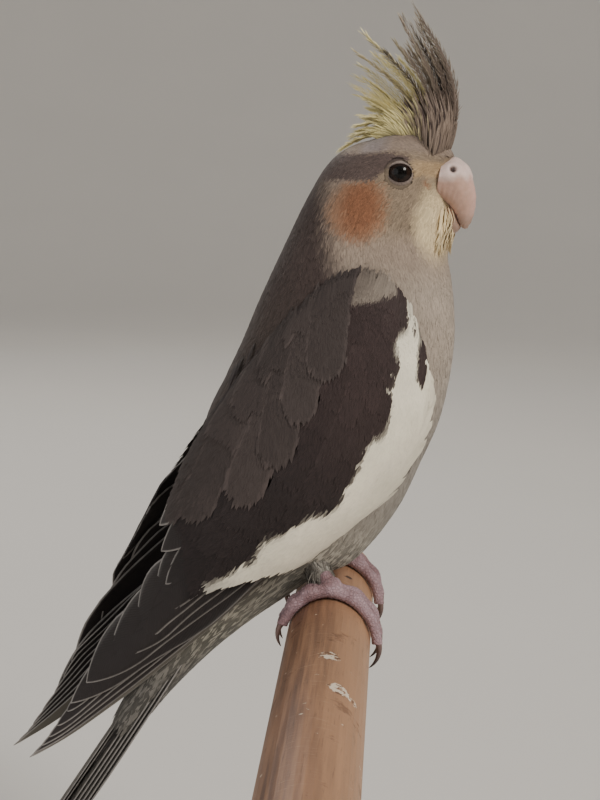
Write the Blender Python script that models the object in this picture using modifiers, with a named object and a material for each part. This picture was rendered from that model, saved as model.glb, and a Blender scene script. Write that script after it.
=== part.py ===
# A life-size cockatiel gripping a cut length of perch that a plain display stand holds up.
# Metres, +Z up. The bird looks along +X and its left side is +Y. The origin is the middle
# of the stand's underside. The sizes below are millimetres, and the bird's own places are
# measured from the perch's axis under the middle of the bird.
import math

import bmesh
import bpy
import numpy as np
from mathutils import Matrix

MM = 0.001
GAP = 0.3                # between parts that touch
SUNK = 2.5               # how far a feather's root goes into what it grows from

# Perch and stand
PERCH_RADIUS = 12.0
PERCH_NEAR = -162.0      # the perch's two ends, from the middle of the bird
PERCH_FAR = 42.0
PERCH_HEIGHT = 134.0     # axis over the floor, so that the tail hangs clear of it
PERCH_EDGE = 0.8
PERCH_SIDES = 36
BASE_LENGTH = 176.0
BASE_WIDTH = 128.0
BASE_THICK = 8.0
BASE_EDGE = 2.0
ROD_RADIUS = 4.0
ROD_REACH = 60.0         # each rod from the middle of the perch
BIRD_Y = -(PERCH_NEAR + PERCH_FAR) / 2

# Body, from the root of the tail to the crown. Each row is a section across the body:
# its number, the back's x and z, the belly's x and z, its half width, and how much
# fuller it is toward the back than toward the front.
BODY = (
    (0, -49.3, -2.6, -35.1, -11.3, 9.8, 0.0),
    (1, -47.8, 9.8, -24.0, -1.6, 12.2, 0.0),
    (2, -45.2, 23.3, -13.4, 6.6, 15.6, 0.0),
    (3, -43.4, 36.0, -5.0, 13.2, 19.0, 0.0),
    (4, -41.6, 48.5, 4.6, 17.6, 21.8, 0.0),
    (5, -38.2, 61.5, 12.0, 25.5, 23.6, 0.0),
    (6, -33.3, 72.5, 19.0, 36.5, 24.4, 0.0),
    (7, -28.8, 83.0, 24.2, 49.0, 24.4, 0.0),
    (8, -24.9, 93.3, 28.8, 61.0, 23.8, 0.0),
    (9, -20.9, 103.0, 31.2, 73.0, 22.6, 0.0),
    (10, -17.3, 111.7, 32.2, 85.0, 20.6, 0.02),
    (11, -13.6, 120.3, 31.6, 95.0, 17.9, 0.05),
    (12, -10.0, 127.5, 30.4, 103.0, 15.9, 0.10),
    (13, -6.8, 133.0, 29.2, 109.5, 14.6, 0.16),
    (14, -3.0, 137.1, 30.2, 116.0, 13.9, 0.24),
    (15, 1.6, 139.8, 30.8, 122.5, 13.2, 0.30),
    (16, 6.4, 141.4, 31.4, 129.0, 12.1, 0.34),
    (17, 11.0, 143.0, 31.3, 135.0, 10.2, 0.32),
    (18, 16.0, 144.2, 28.8, 139.6, 6.6, 0.20),
    (19, 20.5, 144.3, 24.2, 143.0, 2.4, 0.0),
)
BODY_SIDES = 30
NECK_FROM = 10.4
HEAD_FROM = 12.7
TORSO_RINGS = 17
NECK_RINGS = 6
HEAD_RINGS = 15

# The head turns to the bird's right, by a twist that grows up the neck.
HEAD_TURN = 12.0
TURN_AXIS_X = 4.0
TURN_FROM = 100.0
TURN_TO = 115.0

# Face
FACE_X = 28.9            # flat face of the head where the bill sits
FACE_LOW = 115.3
FACE_HIGH = 138.9
EYE_X = 16.5
EYE_Y = 9.3
EYE_Z = 132.8
EYE_RADIUS = 4.3
LID_RADIUS = 3.7         # middle of the lid's ring
LID_THICK = 0.8
LID_REACH = 3.2          # from the middle of the eye to the middle of the lid's ring
LID_WAY = (0.26, 0.96, 0.10)
NOSTRIL_X = 31.6
NOSTRIL_Y = 3.4
NOSTRIL_Z = 134.2
NOSTRIL_RADIUS = 1.0

# Bills: number, outer x and z, inner x and z, half width
BILL_UPPER = (
    (0, 29.2, 138.2, 29.2, 124.9, 4.9),
    (1, 32.6, 137.4, 30.1, 124.4, 4.9),
    (2, 35.4, 134.4, 31.0, 123.5, 4.6),
    (3, 36.8, 130.0, 31.7, 122.4, 4.0),
    (4, 37.0, 125.4, 32.4, 121.1, 3.1),
    (5, 36.2, 121.3, 33.2, 119.6, 2.0),
    (6, 35.0, 118.2, 34.2, 118.0, 0.7),
)
BILL_LOWER = (
    (0, 29.2, 115.8, 29.2, 124.3, 4.1),
    (1, 30.6, 116.0, 30.5, 123.2, 3.9),
    (2, 31.7, 116.7, 31.3, 121.9, 3.3),
    (3, 32.5, 117.6, 31.9, 120.4, 2.3),
    (4, 32.9, 118.5, 32.4, 119.2, 1.1),
)
BILL_SIDES = 14

# Crest: feathers in rows from the forehead back over the crown. Each pair of values is
# for the front of the crest and for its rear.
CREST_COUNT = 18
CREST_X = (26.6, 11.0)
CREST_LENGTH = (43.0, 14.0)
CREST_LEAN = (-20.0, 72.0)                       # degrees back from upright at the root
CREST_BEND = (78.0, -20.0)                       # degrees that a feather bends back
CREST_SPREAD = 3.2
CREST_YAW = 8.0
CREST_ROLL = 35.0
CREST_WIDTH = 5.2
CREST_TAPER = ((0, 0.45, 1.2), (0.35, 1, 1.0), (0.6, 0.9, 0.95), (0.85, 0.5, 0.7), (1, 0.1, 0.5))
CREST_THICK = 0.6
CREST_STEPS = 5
CROWN_TOP = 143.7
CROWN_TOP_X = 19.0
CROWN_FALL = 0.02        # how the crown falls away before and behind its top
CROWN_SIDE_FALL = 0.1

# Wings. A wing lies along a line that starts at its bend and runs back and down.
# s is the way along that line, t the way across it toward the back, and h stands out
# from the shell, an oval tube round the body. SHELL holds s, the tube's middle in t,
# and its half size in t and in y.
WING_X = 23.0
WING_Z = 84.0
WING_SLOPE = 50.0        # degrees below level
# The left wing is folded higher than the right: s and how much. Its tip reaches farther.
LEFT_LIFT = ((40, 0.0), (64, 0.2), (75, 1.8), (85, 4.6), (97, 6.4), (110, 6.6), (125, 5.8), (145, 5.0))
LEFT_REACH = 5.0
SHELL = (
    (-12, 13.0, 34.0, 25.5),
    (0, 11.5, 34.0, 27.5),
    (20, 8.0, 33.5, 29.2),
    (40, 6.0, 31.5, 29.6),
    (60, 5.0, 28.0, 29.2),
    (80, 3.5, 23.5, 27.0),
    (100, 0.5, 17.8, 21.8),
    (120, -0.5, 14.0, 15.6),
    (145, 0.5, 10.8, 10.2),
    (178, 1.5, 8.5, 6.8),
)
# The folded wing's outline: s, lower edge, upper edge
WING = (
    (-7, 11.0, 22.0),
    (-4, 4.6, 27.0),
    (2, -3.8, 30.5),
    (12, -12.8, 32.5),
    (26, -19.2, 33.5),
    (40, -20.6, 33.3),
    (54, -18.8, 32.0),
    (68, -16.4, 29.3),
    (82, -14.2, 24.8),
    (98, -12.6, 17.6),
    (116, -10.2, 13.2),
    (143, -6.0, 10.2),
    (160, -2.4, 8.0),
    (174, 2.0, 5.2),
)
# The wing's core, which the feathers grow from: s, its outer face's h, its thickness
WING_CORE = (
    (-7, -2.6, 1.0),
    (-2, -0.8, 3.0),
    (8, 0.0, 5.0),
    (28, -0.4, 6.6),
    (48, -0.8, 6.0),
    (62, -1.5, 4.6),
    (70, -2.4, 4.0),
    (76, -4.6, 2.2),
    (80, -6.2, 0.9),
)
WING_RINGS = 11
WING_COLUMNS = 6
CORE_INSET = 1.5
CORE_DROP = 1.6          # how far the core's edges bend in
VANE_THICK = 0.5
VANE_STEP = 0.85         # from one vane's face to the same face of the vane it lies on
VANE_POINT = (8.0, 3.0, 0.0)                     # a vane narrows this far from its tip
VANE_NARROW = (1.0, 0.72, 0.22)
VANE_MARGIN = 0.6        # from the wing's upper edge
TIP_VARY = 0.9
HEIGHT_VARY = 0.04
WING_SEED = 41
# The tiers of a wing's feathers, from the lowest feather up. Each has its count, the s of
# its roots and tips, its place across the wing, the distance between neighbours, its half
# width and the rows of h along it. A tier from the upper edge counts down from there.
TIERS = (
    {"name": "primary", "count": 6, "roots": (62, 62), "tips": (173, 169, 163, 156, 149, 142),
     "from_top": False, "inset": 2.9, "pitch": 1.9, "half": 2.9, "step": 18,
     "height": ((60, -4.0), (84, -3.9), (110, -3.1), (140, -2.0), (174, -1.2))},
    {"name": "secondary", "count": 6, "roots": (58, 58), "tips": (104, 115, 126, 137, 128, 113),
     "from_top": False, "inset": 9.6, "pitch": 3.9, "half": 5.2, "step": 15,
     "height": ((50, -2.6), (76, -2.2), (84, -1.0), (110, -0.1), (140, 0.4))},
    {"name": "greater", "count": 5, "roots": (28, 28), "tips": (88, 85, 81, 76, 70),
     "from_top": False, "inset": 4.2, "pitch": 4.3, "half": 4.6, "step": 14,
     "height": ((28, -2.4), (36, -1.0), (46, 0.6), (70, 1.6), (88, 2.0))},
    {"name": "median", "count": 4, "roots": (6, 6), "tips": (46, 48, 48, 44),
     "from_top": False, "inset": 5.2, "pitch": 5.4, "half": 5.4, "step": 12,
     "height": ((0, -2.8), (10, -1.4), (22, 1.0), (48, 2.6))},
    {"name": "scapular", "count": 4, "roots": (6, 14), "tips": (58, 68, 78, 88),
     "from_top": True, "inset": 5.0, "pitch": 4.6, "half": 5.2, "step": 14,
     "height": ((0, -2.6), (20, -1.0), (36, 1.2), (88, 2.0))},
)

# Tail: it leaves the body at TAIL_X, TAIL_Z and hangs at TAIL_SLOPE below level.
TAIL_X = -36.2
TAIL_Z = 3.4
TAIL_SLOPE = 58.5
# The core that the tail's feathers grow from: way along it, half width, half thickness
TAIL_CORE = (
    (12, 9.4, 7.8),
    (24, 9.8, 6.6),
    (36, 10.2, 5.2),
    (48, 10.0, 3.6),
    (60, 8.6, 1.8),
)
TAIL_RINGS = 6
TAIL_SIDES = 14
TAIL_LENGTHS = (155, 146, 129, 111, 93, 77)      # from the middle pair outward
TAIL_HALF = 5.2
TAIL_ROOT = 16.0
TAIL_PITCH = ((12, 0.5), (60, 1.4), (110, 2.0), (155, 2.2))
TAIL_TOP = 3.4
TAIL_ROOF = 0.12         # how the tail falls away to each side
COVERT_OVER = (50, 60, 68, 60, 50)               # where the coverts over the tail end
COVERT_UNDER = (56, 64, 72, 64, 56)
COVERT_HALF = 3.6
COVERT_PITCH = 3.2
COVERT_LIFT = (6.4, 5.6)                         # over and under the tail's middle
# Room for the tail's feathers, which the wings keep out of: along, half width, half height
TAIL_ROOM = ((6, 11.5, 8.8), (30, 12.8, 8.0), (60, 14.5, 6.8), (155, 12.0, 4.6))

# Legs and feet. Angles are from the top of the perch, forward positive.
FOOT_Y = 18.5
# The foot's short upright part: x, how far in from the foot's middle, z, radius
FOOT_STUB = ((0.4, 0.0, 15.0, 2.4), (-1.0, 1.2, 16.4, 2.2), (-2.4, 3.2, 17.9, 2.0))
# The leg from there up: number, how far back, how far in, how far up, and its radius
LEG = (
    (0, 0.2, 0.3, 0.6, 2.0),
    (1, 1.4, 1.3, 2.1, 2.8),
    (2, 2.8, 3.4, 4.9, 3.6),
    (3, 4.2, 5.6, 8.6, 4.2),
    (4, 5.4, 8.2, 12.6, 4.2),
)
LEG_SIDES = 14
LEG_RINGS = 9
TOE_RADIUS = 2.35
TOE_TIP_RADIUS = 1.7
TOE_SWELL = 0.07
CLAW_RADIUS = 1.15
CLAW_TIP_RADIUS = 0.25
CLAW_LIFT = 3.2          # the claws' tips from the perch
PALM_RADIUS = 2.9
TOE_STEPS = 6
CLAW_STEPS = 4
FRONT_TOE = 72.0
FRONT_CLAW = 116.0
REAR_TOE = -66.0
REAR_CLAW = -96.0
FOOT_SIDES = 7
# y of each toe's root and of its claw's tip from the foot's middle, outward positive
FRONT_TOES = ((1.0, 5.2), (-1.2, -4.0))
REAR_TOES = ((0.9, 3.6), (-1.0, -3.4))

COLOURS = {
    "head": (0.28, 0.25, 0.21),
    "neck": (0.24, 0.21, 0.18),
    "torso": (0.30, 0.27, 0.23),
    "wing": (0.09, 0.08, 0.08),
    "tail": (0.10, 0.10, 0.10),
    "bill": (0.62, 0.48, 0.44),
    "eye": (0.01, 0.01, 0.01),
    "leg": (0.30, 0.27, 0.24),
    "foot": (0.45, 0.33, 0.34),
    "wood": (0.32, 0.18, 0.11),
    "steel": (0.55, 0.56, 0.58),
    "base": (0.06, 0.06, 0.065),
}
ROUGHNESS = {"eye": 0.08, "bill": 0.4, "steel": 0.3, "base": 0.45, "wood": 0.55}


def clear_scene():
    for thing in list(bpy.data.objects):
        bpy.data.objects.remove(thing, do_unlink=True)


def make_collection(name):
    collection = bpy.data.collections.new(name)
    bpy.context.scene.collection.children.link(collection)
    return collection


def material(kind):
    made = bpy.data.materials.get(kind)
    if made is None:
        made = bpy.data.materials.new(kind)
        made.use_nodes = True
        shader = made.node_tree.nodes["Principled BSDF"]
        shader.inputs["Base Color"].default_value = (*COLOURS[kind], 1.0)
        shader.inputs["Roughness"].default_value = ROUGHNESS.get(kind, 0.85)
        shader.inputs["Metallic"].default_value = 1.0 if kind == "steel" else 0.0
    return made


def smooth(rows, at):
    # A curve through every row, read at the values of the first column given in at.
    rows = np.array(rows, float)
    at = np.asarray(at, float)
    key, values = rows[:, 0], rows[:, 1:]
    slope = np.gradient(values, key, axis=0)
    i = np.clip(np.searchsorted(key, at, side="right") - 1, 0, len(key) - 2)
    span = (key[i + 1] - key[i])[..., None]
    f = (at - key[i])[..., None] / span
    rise = values[i + 1] - values[i]
    turn = f * (1 - f) ** 2 * (slope[i] * span - rise) - f * f * (1 - f) * (slope[i + 1] * span - rise)
    return values[i] + rise * f + turn


def between(ends, f):
    return ends[0] + (ends[1] - ends[0]) * f


def ease(low, high, value):
    f = np.clip((value - low) / (high - low), 0, 1)
    return f * f * (3 - 2 * f)


def turn_head(points):
    # Turns points about the upright line at TURN_AXIS_X, more the higher they are.
    points = np.array(points, float)
    angle = np.radians(HEAD_TURN) * ease(TURN_FROM, TURN_TO, points[..., 2])
    x, y = points[..., 0] - TURN_AXIS_X, points[..., 1].copy()
    points[..., 0] = TURN_AXIS_X + x * np.cos(angle) + y * np.sin(angle)
    points[..., 1] = y * np.cos(angle) - x * np.sin(angle)
    return points


def mesh_object(name, points, faces, collection):
    # A closed mesh from points in millimetres, with its faces turned outward.
    mesh = bpy.data.meshes.new(name)
    mesh.from_pydata([tuple(point) for point in np.asarray(points) * MM], [], faces)
    shape = bmesh.new()
    shape.from_mesh(mesh)
    bmesh.ops.recalc_face_normals(shape, faces=shape.faces)
    shape.to_mesh(mesh)
    shape.free()
    made = bpy.data.objects.new(name, mesh)
    collection.objects.link(made)
    return made


def loft(name, rings, collection):
    # Skins a row of closed rings and closes both ends with a fan to the ring's middle.
    rings = np.asarray(rings, float)
    count, sides = rings.shape[:2]
    points = list(rings.reshape(-1, 3)) + [rings[0].mean(axis=0), rings[-1].mean(axis=0)]
    first, last = count * sides, count * sides + 1
    faces = []
    for i in range(count - 1):
        for j in range(sides):
            k = (j + 1) % sides
            a, b = i * sides + j, i * sides + k
            faces.append((a, b, b + sides))
            faces.append((a, b + sides, a + sides))
    for j in range(sides):
        k = (j + 1) % sides
        faces.append((first, k, j))
        faces.append((last, (count - 1) * sides + j, (count - 1) * sides + k))
    return mesh_object(name, points, faces, collection)


def slab(name, outer, inner, collection):
    # A closed sheet between two grids of points of the same size, triangles alike on both.
    rows, columns = outer.shape[:2]
    points = list(outer.reshape(-1, 3)) + list(inner.reshape(-1, 3))
    back = rows * columns
    faces = []
    for i in range(rows - 1):
        for j in range(columns - 1):
            a = i * columns + j
            b, c, d = a + 1, a + columns + 1, a + columns
            faces.append((a, b, c))
            faces.append((a, c, d))
            faces.append((a + back, c + back, b + back))
            faces.append((a + back, d + back, c + back))
    rim = [j for j in range(columns)]
    rim += [i * columns + columns - 1 for i in range(1, rows)]
    rim += [(rows - 1) * columns + j for j in range(columns - 2, -1, -1)]
    rim += [i * columns for i in range(rows - 2, 0, -1)]
    for a, b in zip(rim, rim[1:] + rim[:1]):
        faces.append((a, a + back, b + back))
        faces.append((a, b + back, b))
    return mesh_object(name, points, faces, collection)


def tube(name, path, radii, collection, across=(0.0, 1.0, 0.0), sides=FOOT_SIDES):
    # Circles of the given radii along a path, kept upright to the direction across.
    path = np.asarray(path, float)
    way = np.gradient(path, axis=0)
    way /= np.linalg.norm(way, axis=1)[:, None]
    side = np.asarray(across) - way * (way @ np.asarray(across))[:, None]
    side /= np.linalg.norm(side, axis=1)[:, None]
    up = np.cross(way, side)
    turn = 2 * np.pi * np.arange(sides) / sides
    radii = np.asarray(radii, float)[:, None, None]
    circle = np.cos(turn)[None, :, None] * side[:, None] + np.sin(turn)[None, :, None] * up[:, None]
    return loft(name, path[:, None] + radii * circle, collection)


def vane(name, path, widths, thick, across, collection):
    # A thin blade along a path: its half widths, its thickness and its direction across.
    path = np.asarray(path, float)
    way = np.gradient(path, axis=0)
    way /= np.linalg.norm(way, axis=1)[:, None]
    side = across - way * np.sum(way * across, axis=1)[:, None]
    side /= np.linalg.norm(side, axis=1)[:, None]
    out = np.cross(way, side) * (np.asarray(thick) / 2)[:, None]
    wide = side * np.asarray(widths)[:, None]
    outer = np.stack([path - wide + out, path + wide + out], axis=1)
    inner = np.stack([path - wide - out, path + wide - out], axis=1)
    return slab(name, outer, inner, collection)


def applied(thing):
    # The mesh that the object's modifiers give, as its own mesh.
    depsgraph = bpy.context.evaluated_depsgraph_get()
    mesh = bpy.data.meshes.new_from_object(thing.evaluated_get(depsgraph))
    thing.modifiers.clear()
    thing.data = mesh


def keep_largest(thing):
    # Drops every closed surface of the mesh but the one that holds the most.
    shape = bmesh.new()
    shape.from_mesh(thing.data)
    left = set(shape.faces)
    groups = []
    while left:
        queue = [left.pop()]
        group = []
        while queue:
            face = queue.pop()
            group.append(face)
            for edge in face.edges:
                for other in edge.link_faces:
                    if other in left:
                        left.remove(other)
                        queue.append(other)
        groups.append(group)
    groups.sort(key=lambda group: sum(face.calc_area() for face in group))
    for group in groups[:-1]:
        bmesh.ops.delete(shape, geom=group, context="FACES")
    shape.to_mesh(thing.data)
    shape.free()


def combine(thing, others, operation, solver="EXACT"):
    # One Boolean with all the others, which are then removed.
    if not others:
        return
    group = bpy.data.collections.new("work")
    for other in others:
        group.objects.link(other)
    change = thing.modifiers.new("Boolean", "BOOLEAN")
    change.operation = operation
    change.solver = solver
    change.operand_type = "COLLECTION"
    change.collection = group
    applied(thing)
    for other in others:
        bpy.data.objects.remove(other, do_unlink=True)
    bpy.data.collections.remove(group)
    keep_largest(thing)


def finish(thing, kind, angle=40.0):
    thing.data.materials.clear()
    thing.data.materials.append(material(kind))
    thing.data.shade_smooth()
    thing.data.set_sharp_from_angle(angle=math.radians(angle))


def body_rings(numbers, grow=0.0):
    # Egg-shaped sections: cos runs from belly to back, sin from the middle to the side.
    rows = smooth(BODY, numbers)
    back, belly = rows[:, 0:2], rows[:, 2:4]
    middle, reach = (back + belly) / 2, (back - belly) / 2
    reach = reach * (1 + grow / np.linalg.norm(reach, axis=1))[:, None]
    wide, fuller = rows[:, 4] + grow, rows[:, 5]
    turn = 2 * np.pi * np.arange(BODY_SIDES) / BODY_SIDES
    cos, sin = np.cos(turn), np.sin(turn)
    rings = np.zeros((len(rows), BODY_SIDES, 3))
    rings[:, :, 0] = middle[:, None, 0] + reach[:, None, 0] * cos
    rings[:, :, 2] = middle[:, None, 1] + reach[:, None, 1] * cos
    rings[:, :, 1] = wide[:, None] * sin * (1 + fuller[:, None] * cos)
    return turn_head(rings)


def section_step(number, distance):
    # How much a section's number grows over a distance along the body there.
    near = smooth(BODY, np.array([number, number + 0.01]))
    middle = (near[:, 0:2] + near[:, 2:4]) / 2
    return 0.01 * distance / np.linalg.norm(middle[1] - middle[0])


def make_torso(parts):
    top = NECK_FROM - section_step(NECK_FROM, GAP)
    torso = loft("torso", body_rings(np.linspace(0, top, TORSO_RINGS)), parts)
    finish(torso, "torso")


def torso_room(collection):
    # The torso with the gap round it, which the wings and legs keep out of.
    return loft("torso_room", body_rings(np.linspace(-0.4, NECK_FROM + 0.5, TORSO_RINGS), GAP), collection)


def make_neck(parts):
    top = HEAD_FROM - section_step(HEAD_FROM, GAP)
    neck = loft("neck", body_rings(np.linspace(NECK_FROM, top, NECK_RINGS)), parts)
    finish(neck, "neck")


def ball(name, centre, radius, collection, segments=16, rings=9):
    shape = bmesh.new()
    bmesh.ops.create_uvsphere(shape, u_segments=segments, v_segments=rings, radius=radius)
    points = [vertex.co.copy() for vertex in shape.verts]
    faces = [tuple(vertex.index for vertex in face.verts) for face in shape.faces]
    shape.free()
    return mesh_object(name, np.array(points) + np.array(centre), faces, collection)


def ring_round(name, centre, way, radius, thick, collection, around=14, sides=5):
    # A torus about the direction way.
    way = np.array(way) / np.linalg.norm(way)
    first = np.cross(way, (0, 0, 1))
    first /= np.linalg.norm(first)
    second = np.cross(way, first)
    turn = 2 * np.pi * np.arange(around) / around
    roll = 2 * np.pi * np.arange(sides) / sides
    spoke = np.cos(turn)[:, None] * first + np.sin(turn)[:, None] * second
    out = radius + thick * np.cos(roll)
    points = np.array(centre) + spoke[:, None] * out[:, None]
    points = points + (thick * np.sin(roll))[:, None] * way
    faces = []
    for i in range(around):
        for j in range(sides):
            a, b = i * sides + j, i * sides + (j + 1) % sides
            after = ((i + 1) % around) * sides
            faces.append((a, b, after + (j + 1) % sides, after + j))
    return mesh_object(name, points.reshape(-1, 3), faces, collection)


def box(name, low, high, collection):
    low, high = np.array(low), np.array(high)
    shape = bmesh.new()
    bmesh.ops.create_cube(shape, size=1.0)
    points = np.array([vertex.co for vertex in shape.verts])
    faces = [tuple(vertex.index for vertex in face.verts) for face in shape.faces]
    shape.free()
    return mesh_object(name, (low + high) / 2 + points * (high - low), faces, collection)


def turn_object(thing):
    points = np.array([vertex.co for vertex in thing.data.vertices]) / MM
    for vertex, point in zip(thing.data.vertices, turn_head(points)):
        vertex.co = point * MM


def crest_feathers(collection):
    # Blades that leave the crown upright at the front and lean back behind it, each bent
    # in an arc, with its flat side turned a little from its neighbour's.
    draw = np.random.default_rng(7)
    taper = np.array(CREST_TAPER)
    blades = []
    for i in range(CREST_COUNT):
        f = i / (CREST_COUNT - 1)
        x = between(CREST_X, f)
        place = (i % 3) - 1
        y = CREST_SPREAD * place * (1 - 0.3 * f)
        z = CROWN_TOP - CROWN_FALL * (x - CROWN_TOP_X) ** 2 - CROWN_SIDE_FALL * y * y
        crown = np.array([x, y, z])
        length = between(CREST_LENGTH, f ** 1.2) * (1 + draw.uniform(-0.12, 0.05))
        lean = math.radians(between(CREST_LEAN, f) + draw.uniform(-5, 5))
        bend = math.radians(between(CREST_BEND, f ** 0.6) + draw.uniform(-8, 8))
        yaw = math.radians(CREST_YAW * place + draw.uniform(-3, 3))
        along = np.linspace(0, 1, CREST_STEPS + 1)
        angle = lean + bend * along
        step = np.stack([-np.sin(angle), np.full(len(angle), math.sin(yaw)), np.cos(angle)], axis=1)
        step *= (length + SUNK) / CREST_STEPS / np.linalg.norm(step, axis=1)[:, None]
        start = crown - step[0] / np.linalg.norm(step[0]) * SUNK
        path = np.concatenate([[start], start + np.cumsum(step[:-1], axis=0)])
        wide = CREST_WIDTH / 2 * np.interp(along, taper[:, 0], taper[:, 1])
        thick = CREST_THICK * np.interp(along, taper[:, 0], taper[:, 2])
        roll = math.radians(CREST_ROLL * (1 if i % 2 else -1) + draw.uniform(-10, 10))
        across = np.array([math.sin(roll), math.cos(roll), 0.0])
        blades.append(vane(f"crest_{i}", path, wide, thick, across, collection))
    return blades


def make_head(parts, work):
    head = loft("head", body_rings(np.linspace(HEAD_FROM, BODY[-1][0], HEAD_RINGS)), parts)
    pieces = []
    for side in (-1, 1):
        way = np.array(LID_WAY) * (1, side, 1)
        centre = np.array((EYE_X, side * EYE_Y, EYE_Z)) + way * LID_REACH
        lid = ring_round("lid", centre, way, LID_RADIUS, LID_THICK, work)
        turn_object(lid)
        pieces.append(lid)
    for blade in crest_feathers(work):
        turn_object(blade)
        pieces.append(blade)
    combine(head, pieces, "UNION")
    cutters = [box("face", (FACE_X, -20, FACE_LOW), (50, 20, FACE_HIGH), work)]
    for side in (-1, 1):
        centre = (EYE_X, side * EYE_Y, EYE_Z)
        cutters.append(ball("socket", centre, EYE_RADIUS + GAP, work))
    for cutter in cutters:
        turn_object(cutter)
    combine(head, cutters, "DIFFERENCE")
    finish(head, "head")


def make_eyes(parts):
    for name, side in (("eye_right", -1), ("eye_left", 1)):
        eye = ball(name, (EYE_X, side * EYE_Y, EYE_Z), EYE_RADIUS, parts)
        turn_object(eye)
        finish(eye, "eye")


def bill_rings(rows, count):
    numbers = np.linspace(0, rows[-1][0], count)
    values = smooth(rows, numbers)
    outer, inner = values[:, 0:2], values[:, 2:4]
    middle, reach = (outer + inner) / 2, (outer - inner) / 2
    turn = 2 * np.pi * np.arange(BILL_SIDES) / BILL_SIDES
    cos, sin = np.cos(turn), np.sin(turn)
    rings = np.zeros((count, BILL_SIDES, 3))
    rings[:, :, 0] = middle[:, None, 0] + reach[:, None, 0] * cos
    rings[:, :, 2] = middle[:, None, 1] + reach[:, None, 1] * cos
    rings[:, :, 1] = values[:, 4, None] * np.sign(sin) * np.abs(sin) ** 0.8
    return turn_head(rings)


def make_bills(parts, work):
    upper = loft("bill_upper", bill_rings(BILL_UPPER, 11), parts)
    pits = []
    for side in (-1, 1):
        pit = ball("nostril", (NOSTRIL_X, side * NOSTRIL_Y * 1.18, NOSTRIL_Z), NOSTRIL_RADIUS, work, 8, 5)
        turn_object(pit)
        pits.append(pit)
    combine(upper, pits, "DIFFERENCE")
    finish(upper, "bill")
    lower = loft("bill_lower", bill_rings(BILL_LOWER, 6), parts)
    finish(lower, "bill")


def wing_points(s, t, h, side):
    # The point that stands out by h from the oval tube at s along it and t across it.
    row = smooth(SHELL, s)
    middle, high, wide = row[..., 0], row[..., 1], row[..., 2]
    if side > 0:
        lift = np.interp(s, *np.transpose(LEFT_LIFT))
        t = t + lift
        high = high + lift
        s = s + LEFT_REACH * ease(60, 150, s)
    cos = np.clip((t - middle) / high, -0.99, 0.985)
    sin = np.sqrt(1 - cos * cos)
    out_t, out_y = cos / high, sin / wide
    size = np.hypot(out_t, out_y)
    t = middle + high * cos + h * out_t / size
    y = side * np.maximum(wide * sin + h * out_y / size, 0.6)
    slope = math.radians(WING_SLOPE)
    x = WING_X - s * math.cos(slope) - t * math.sin(slope)
    z = WING_Z - s * math.sin(slope) + t * math.cos(slope)
    return np.stack([x, y, z], axis=-1)


def vane_stations(root, tip, step):
    # Places along a feather on a grid that its neighbours share, and close to its tip.
    grid = np.arange(math.ceil(root / step) * step, tip - VANE_POINT[0] - step / 3, step)
    return np.concatenate([grid, tip - np.array(VANE_POINT)])


def wing_vane(tier, i, side, draw, collection):
    # A feather that follows the wing's edge, tilted so that its lower side lies on the
    # feather below it and its upper side slips under the feather above. Where the wing
    # is too narrow for its tier, the feathers draw together.
    f = i / (tier["count"] - 1)
    root = between(tier["roots"], f)
    tip = tier["tips"][i] + draw.uniform(-TIP_VARY, TIP_VARY)
    s = vane_stations(root, tip, tier["step"])
    low, high = smooth(WING, s).T
    span = tier["inset"] + tier["pitch"] * (tier["count"] - 1) + tier["half"]
    squeeze = np.minimum(1, (high - low - VANE_MARGIN) / span)
    if tier["from_top"]:
        middle = high - (tier["inset"] + tier["pitch"] * (tier["count"] - 1 - i)) * squeeze
    else:
        middle = low + (tier["inset"] + tier["pitch"] * i) * squeeze
    half = tier["half"] * np.interp(tip - s, VANE_POINT[::-1], VANE_NARROW[::-1])
    height = smooth(tier["height"], s)[:, 0] + draw.uniform(-HEIGHT_VARY, HEIGHT_VARY)
    tilt = VANE_STEP / tier["pitch"]
    faces = []
    for out in (VANE_THICK / 2, -VANE_THICK / 2):
        rows = []
        for v in (-1, 0, 1):
            rows.append(wing_points(s, middle + v * half * squeeze, height - v * half * tilt + out, side))
        faces.append(np.stack(rows, axis=1))
    return slab(tier["name"], faces[0], faces[1], collection)


def make_wing(name, side, parts, work):
    s = np.linspace(WING_CORE[0][0], WING_CORE[-1][0], WING_RINGS)
    edges, core = smooth(WING, s), smooth(WING_CORE, s)
    v = np.linspace(-1, 1, WING_COLUMNS)
    inset = CORE_INSET * ease(20, 60, s)
    low, high = edges[:, 0] + inset, edges[:, 1] - inset
    t = low[:, None] + (high - low)[:, None] * (v + 1) / 2
    s = np.repeat(s[:, None], WING_COLUMNS, axis=1)
    drop = np.minimum(0.5 * core[:, 1, None], CORE_DROP) * v ** 4
    outer = wing_points(s, t, core[:, 0, None] - drop, side)
    inner = wing_points(s, t, core[:, 0, None] - core[:, 1, None], side)
    wing = slab(name, outer, inner, parts)
    draw = np.random.default_rng(WING_SEED + side)
    vanes = [wing_vane(tier, i, side, draw, work) for tier in TIERS for i in range(tier["count"])]
    combine(wing, vanes, "UNION", "MANIFOLD")
    combine(wing, [torso_room(work), tail_room(work)], "DIFFERENCE", "MANIFOLD")
    finish(wing, "wing")


def tail_points(along, y, up):
    # Places in the tail's own frame: along it, to the side, and up from its middle.
    slope = math.radians(TAIL_SLOPE)
    x = TAIL_X - along * math.cos(slope) - up * math.sin(slope)
    z = TAIL_Z - along * math.sin(slope) + up * math.cos(slope)
    return np.stack(np.broadcast_arrays(x, y, z), axis=-1)


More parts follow.
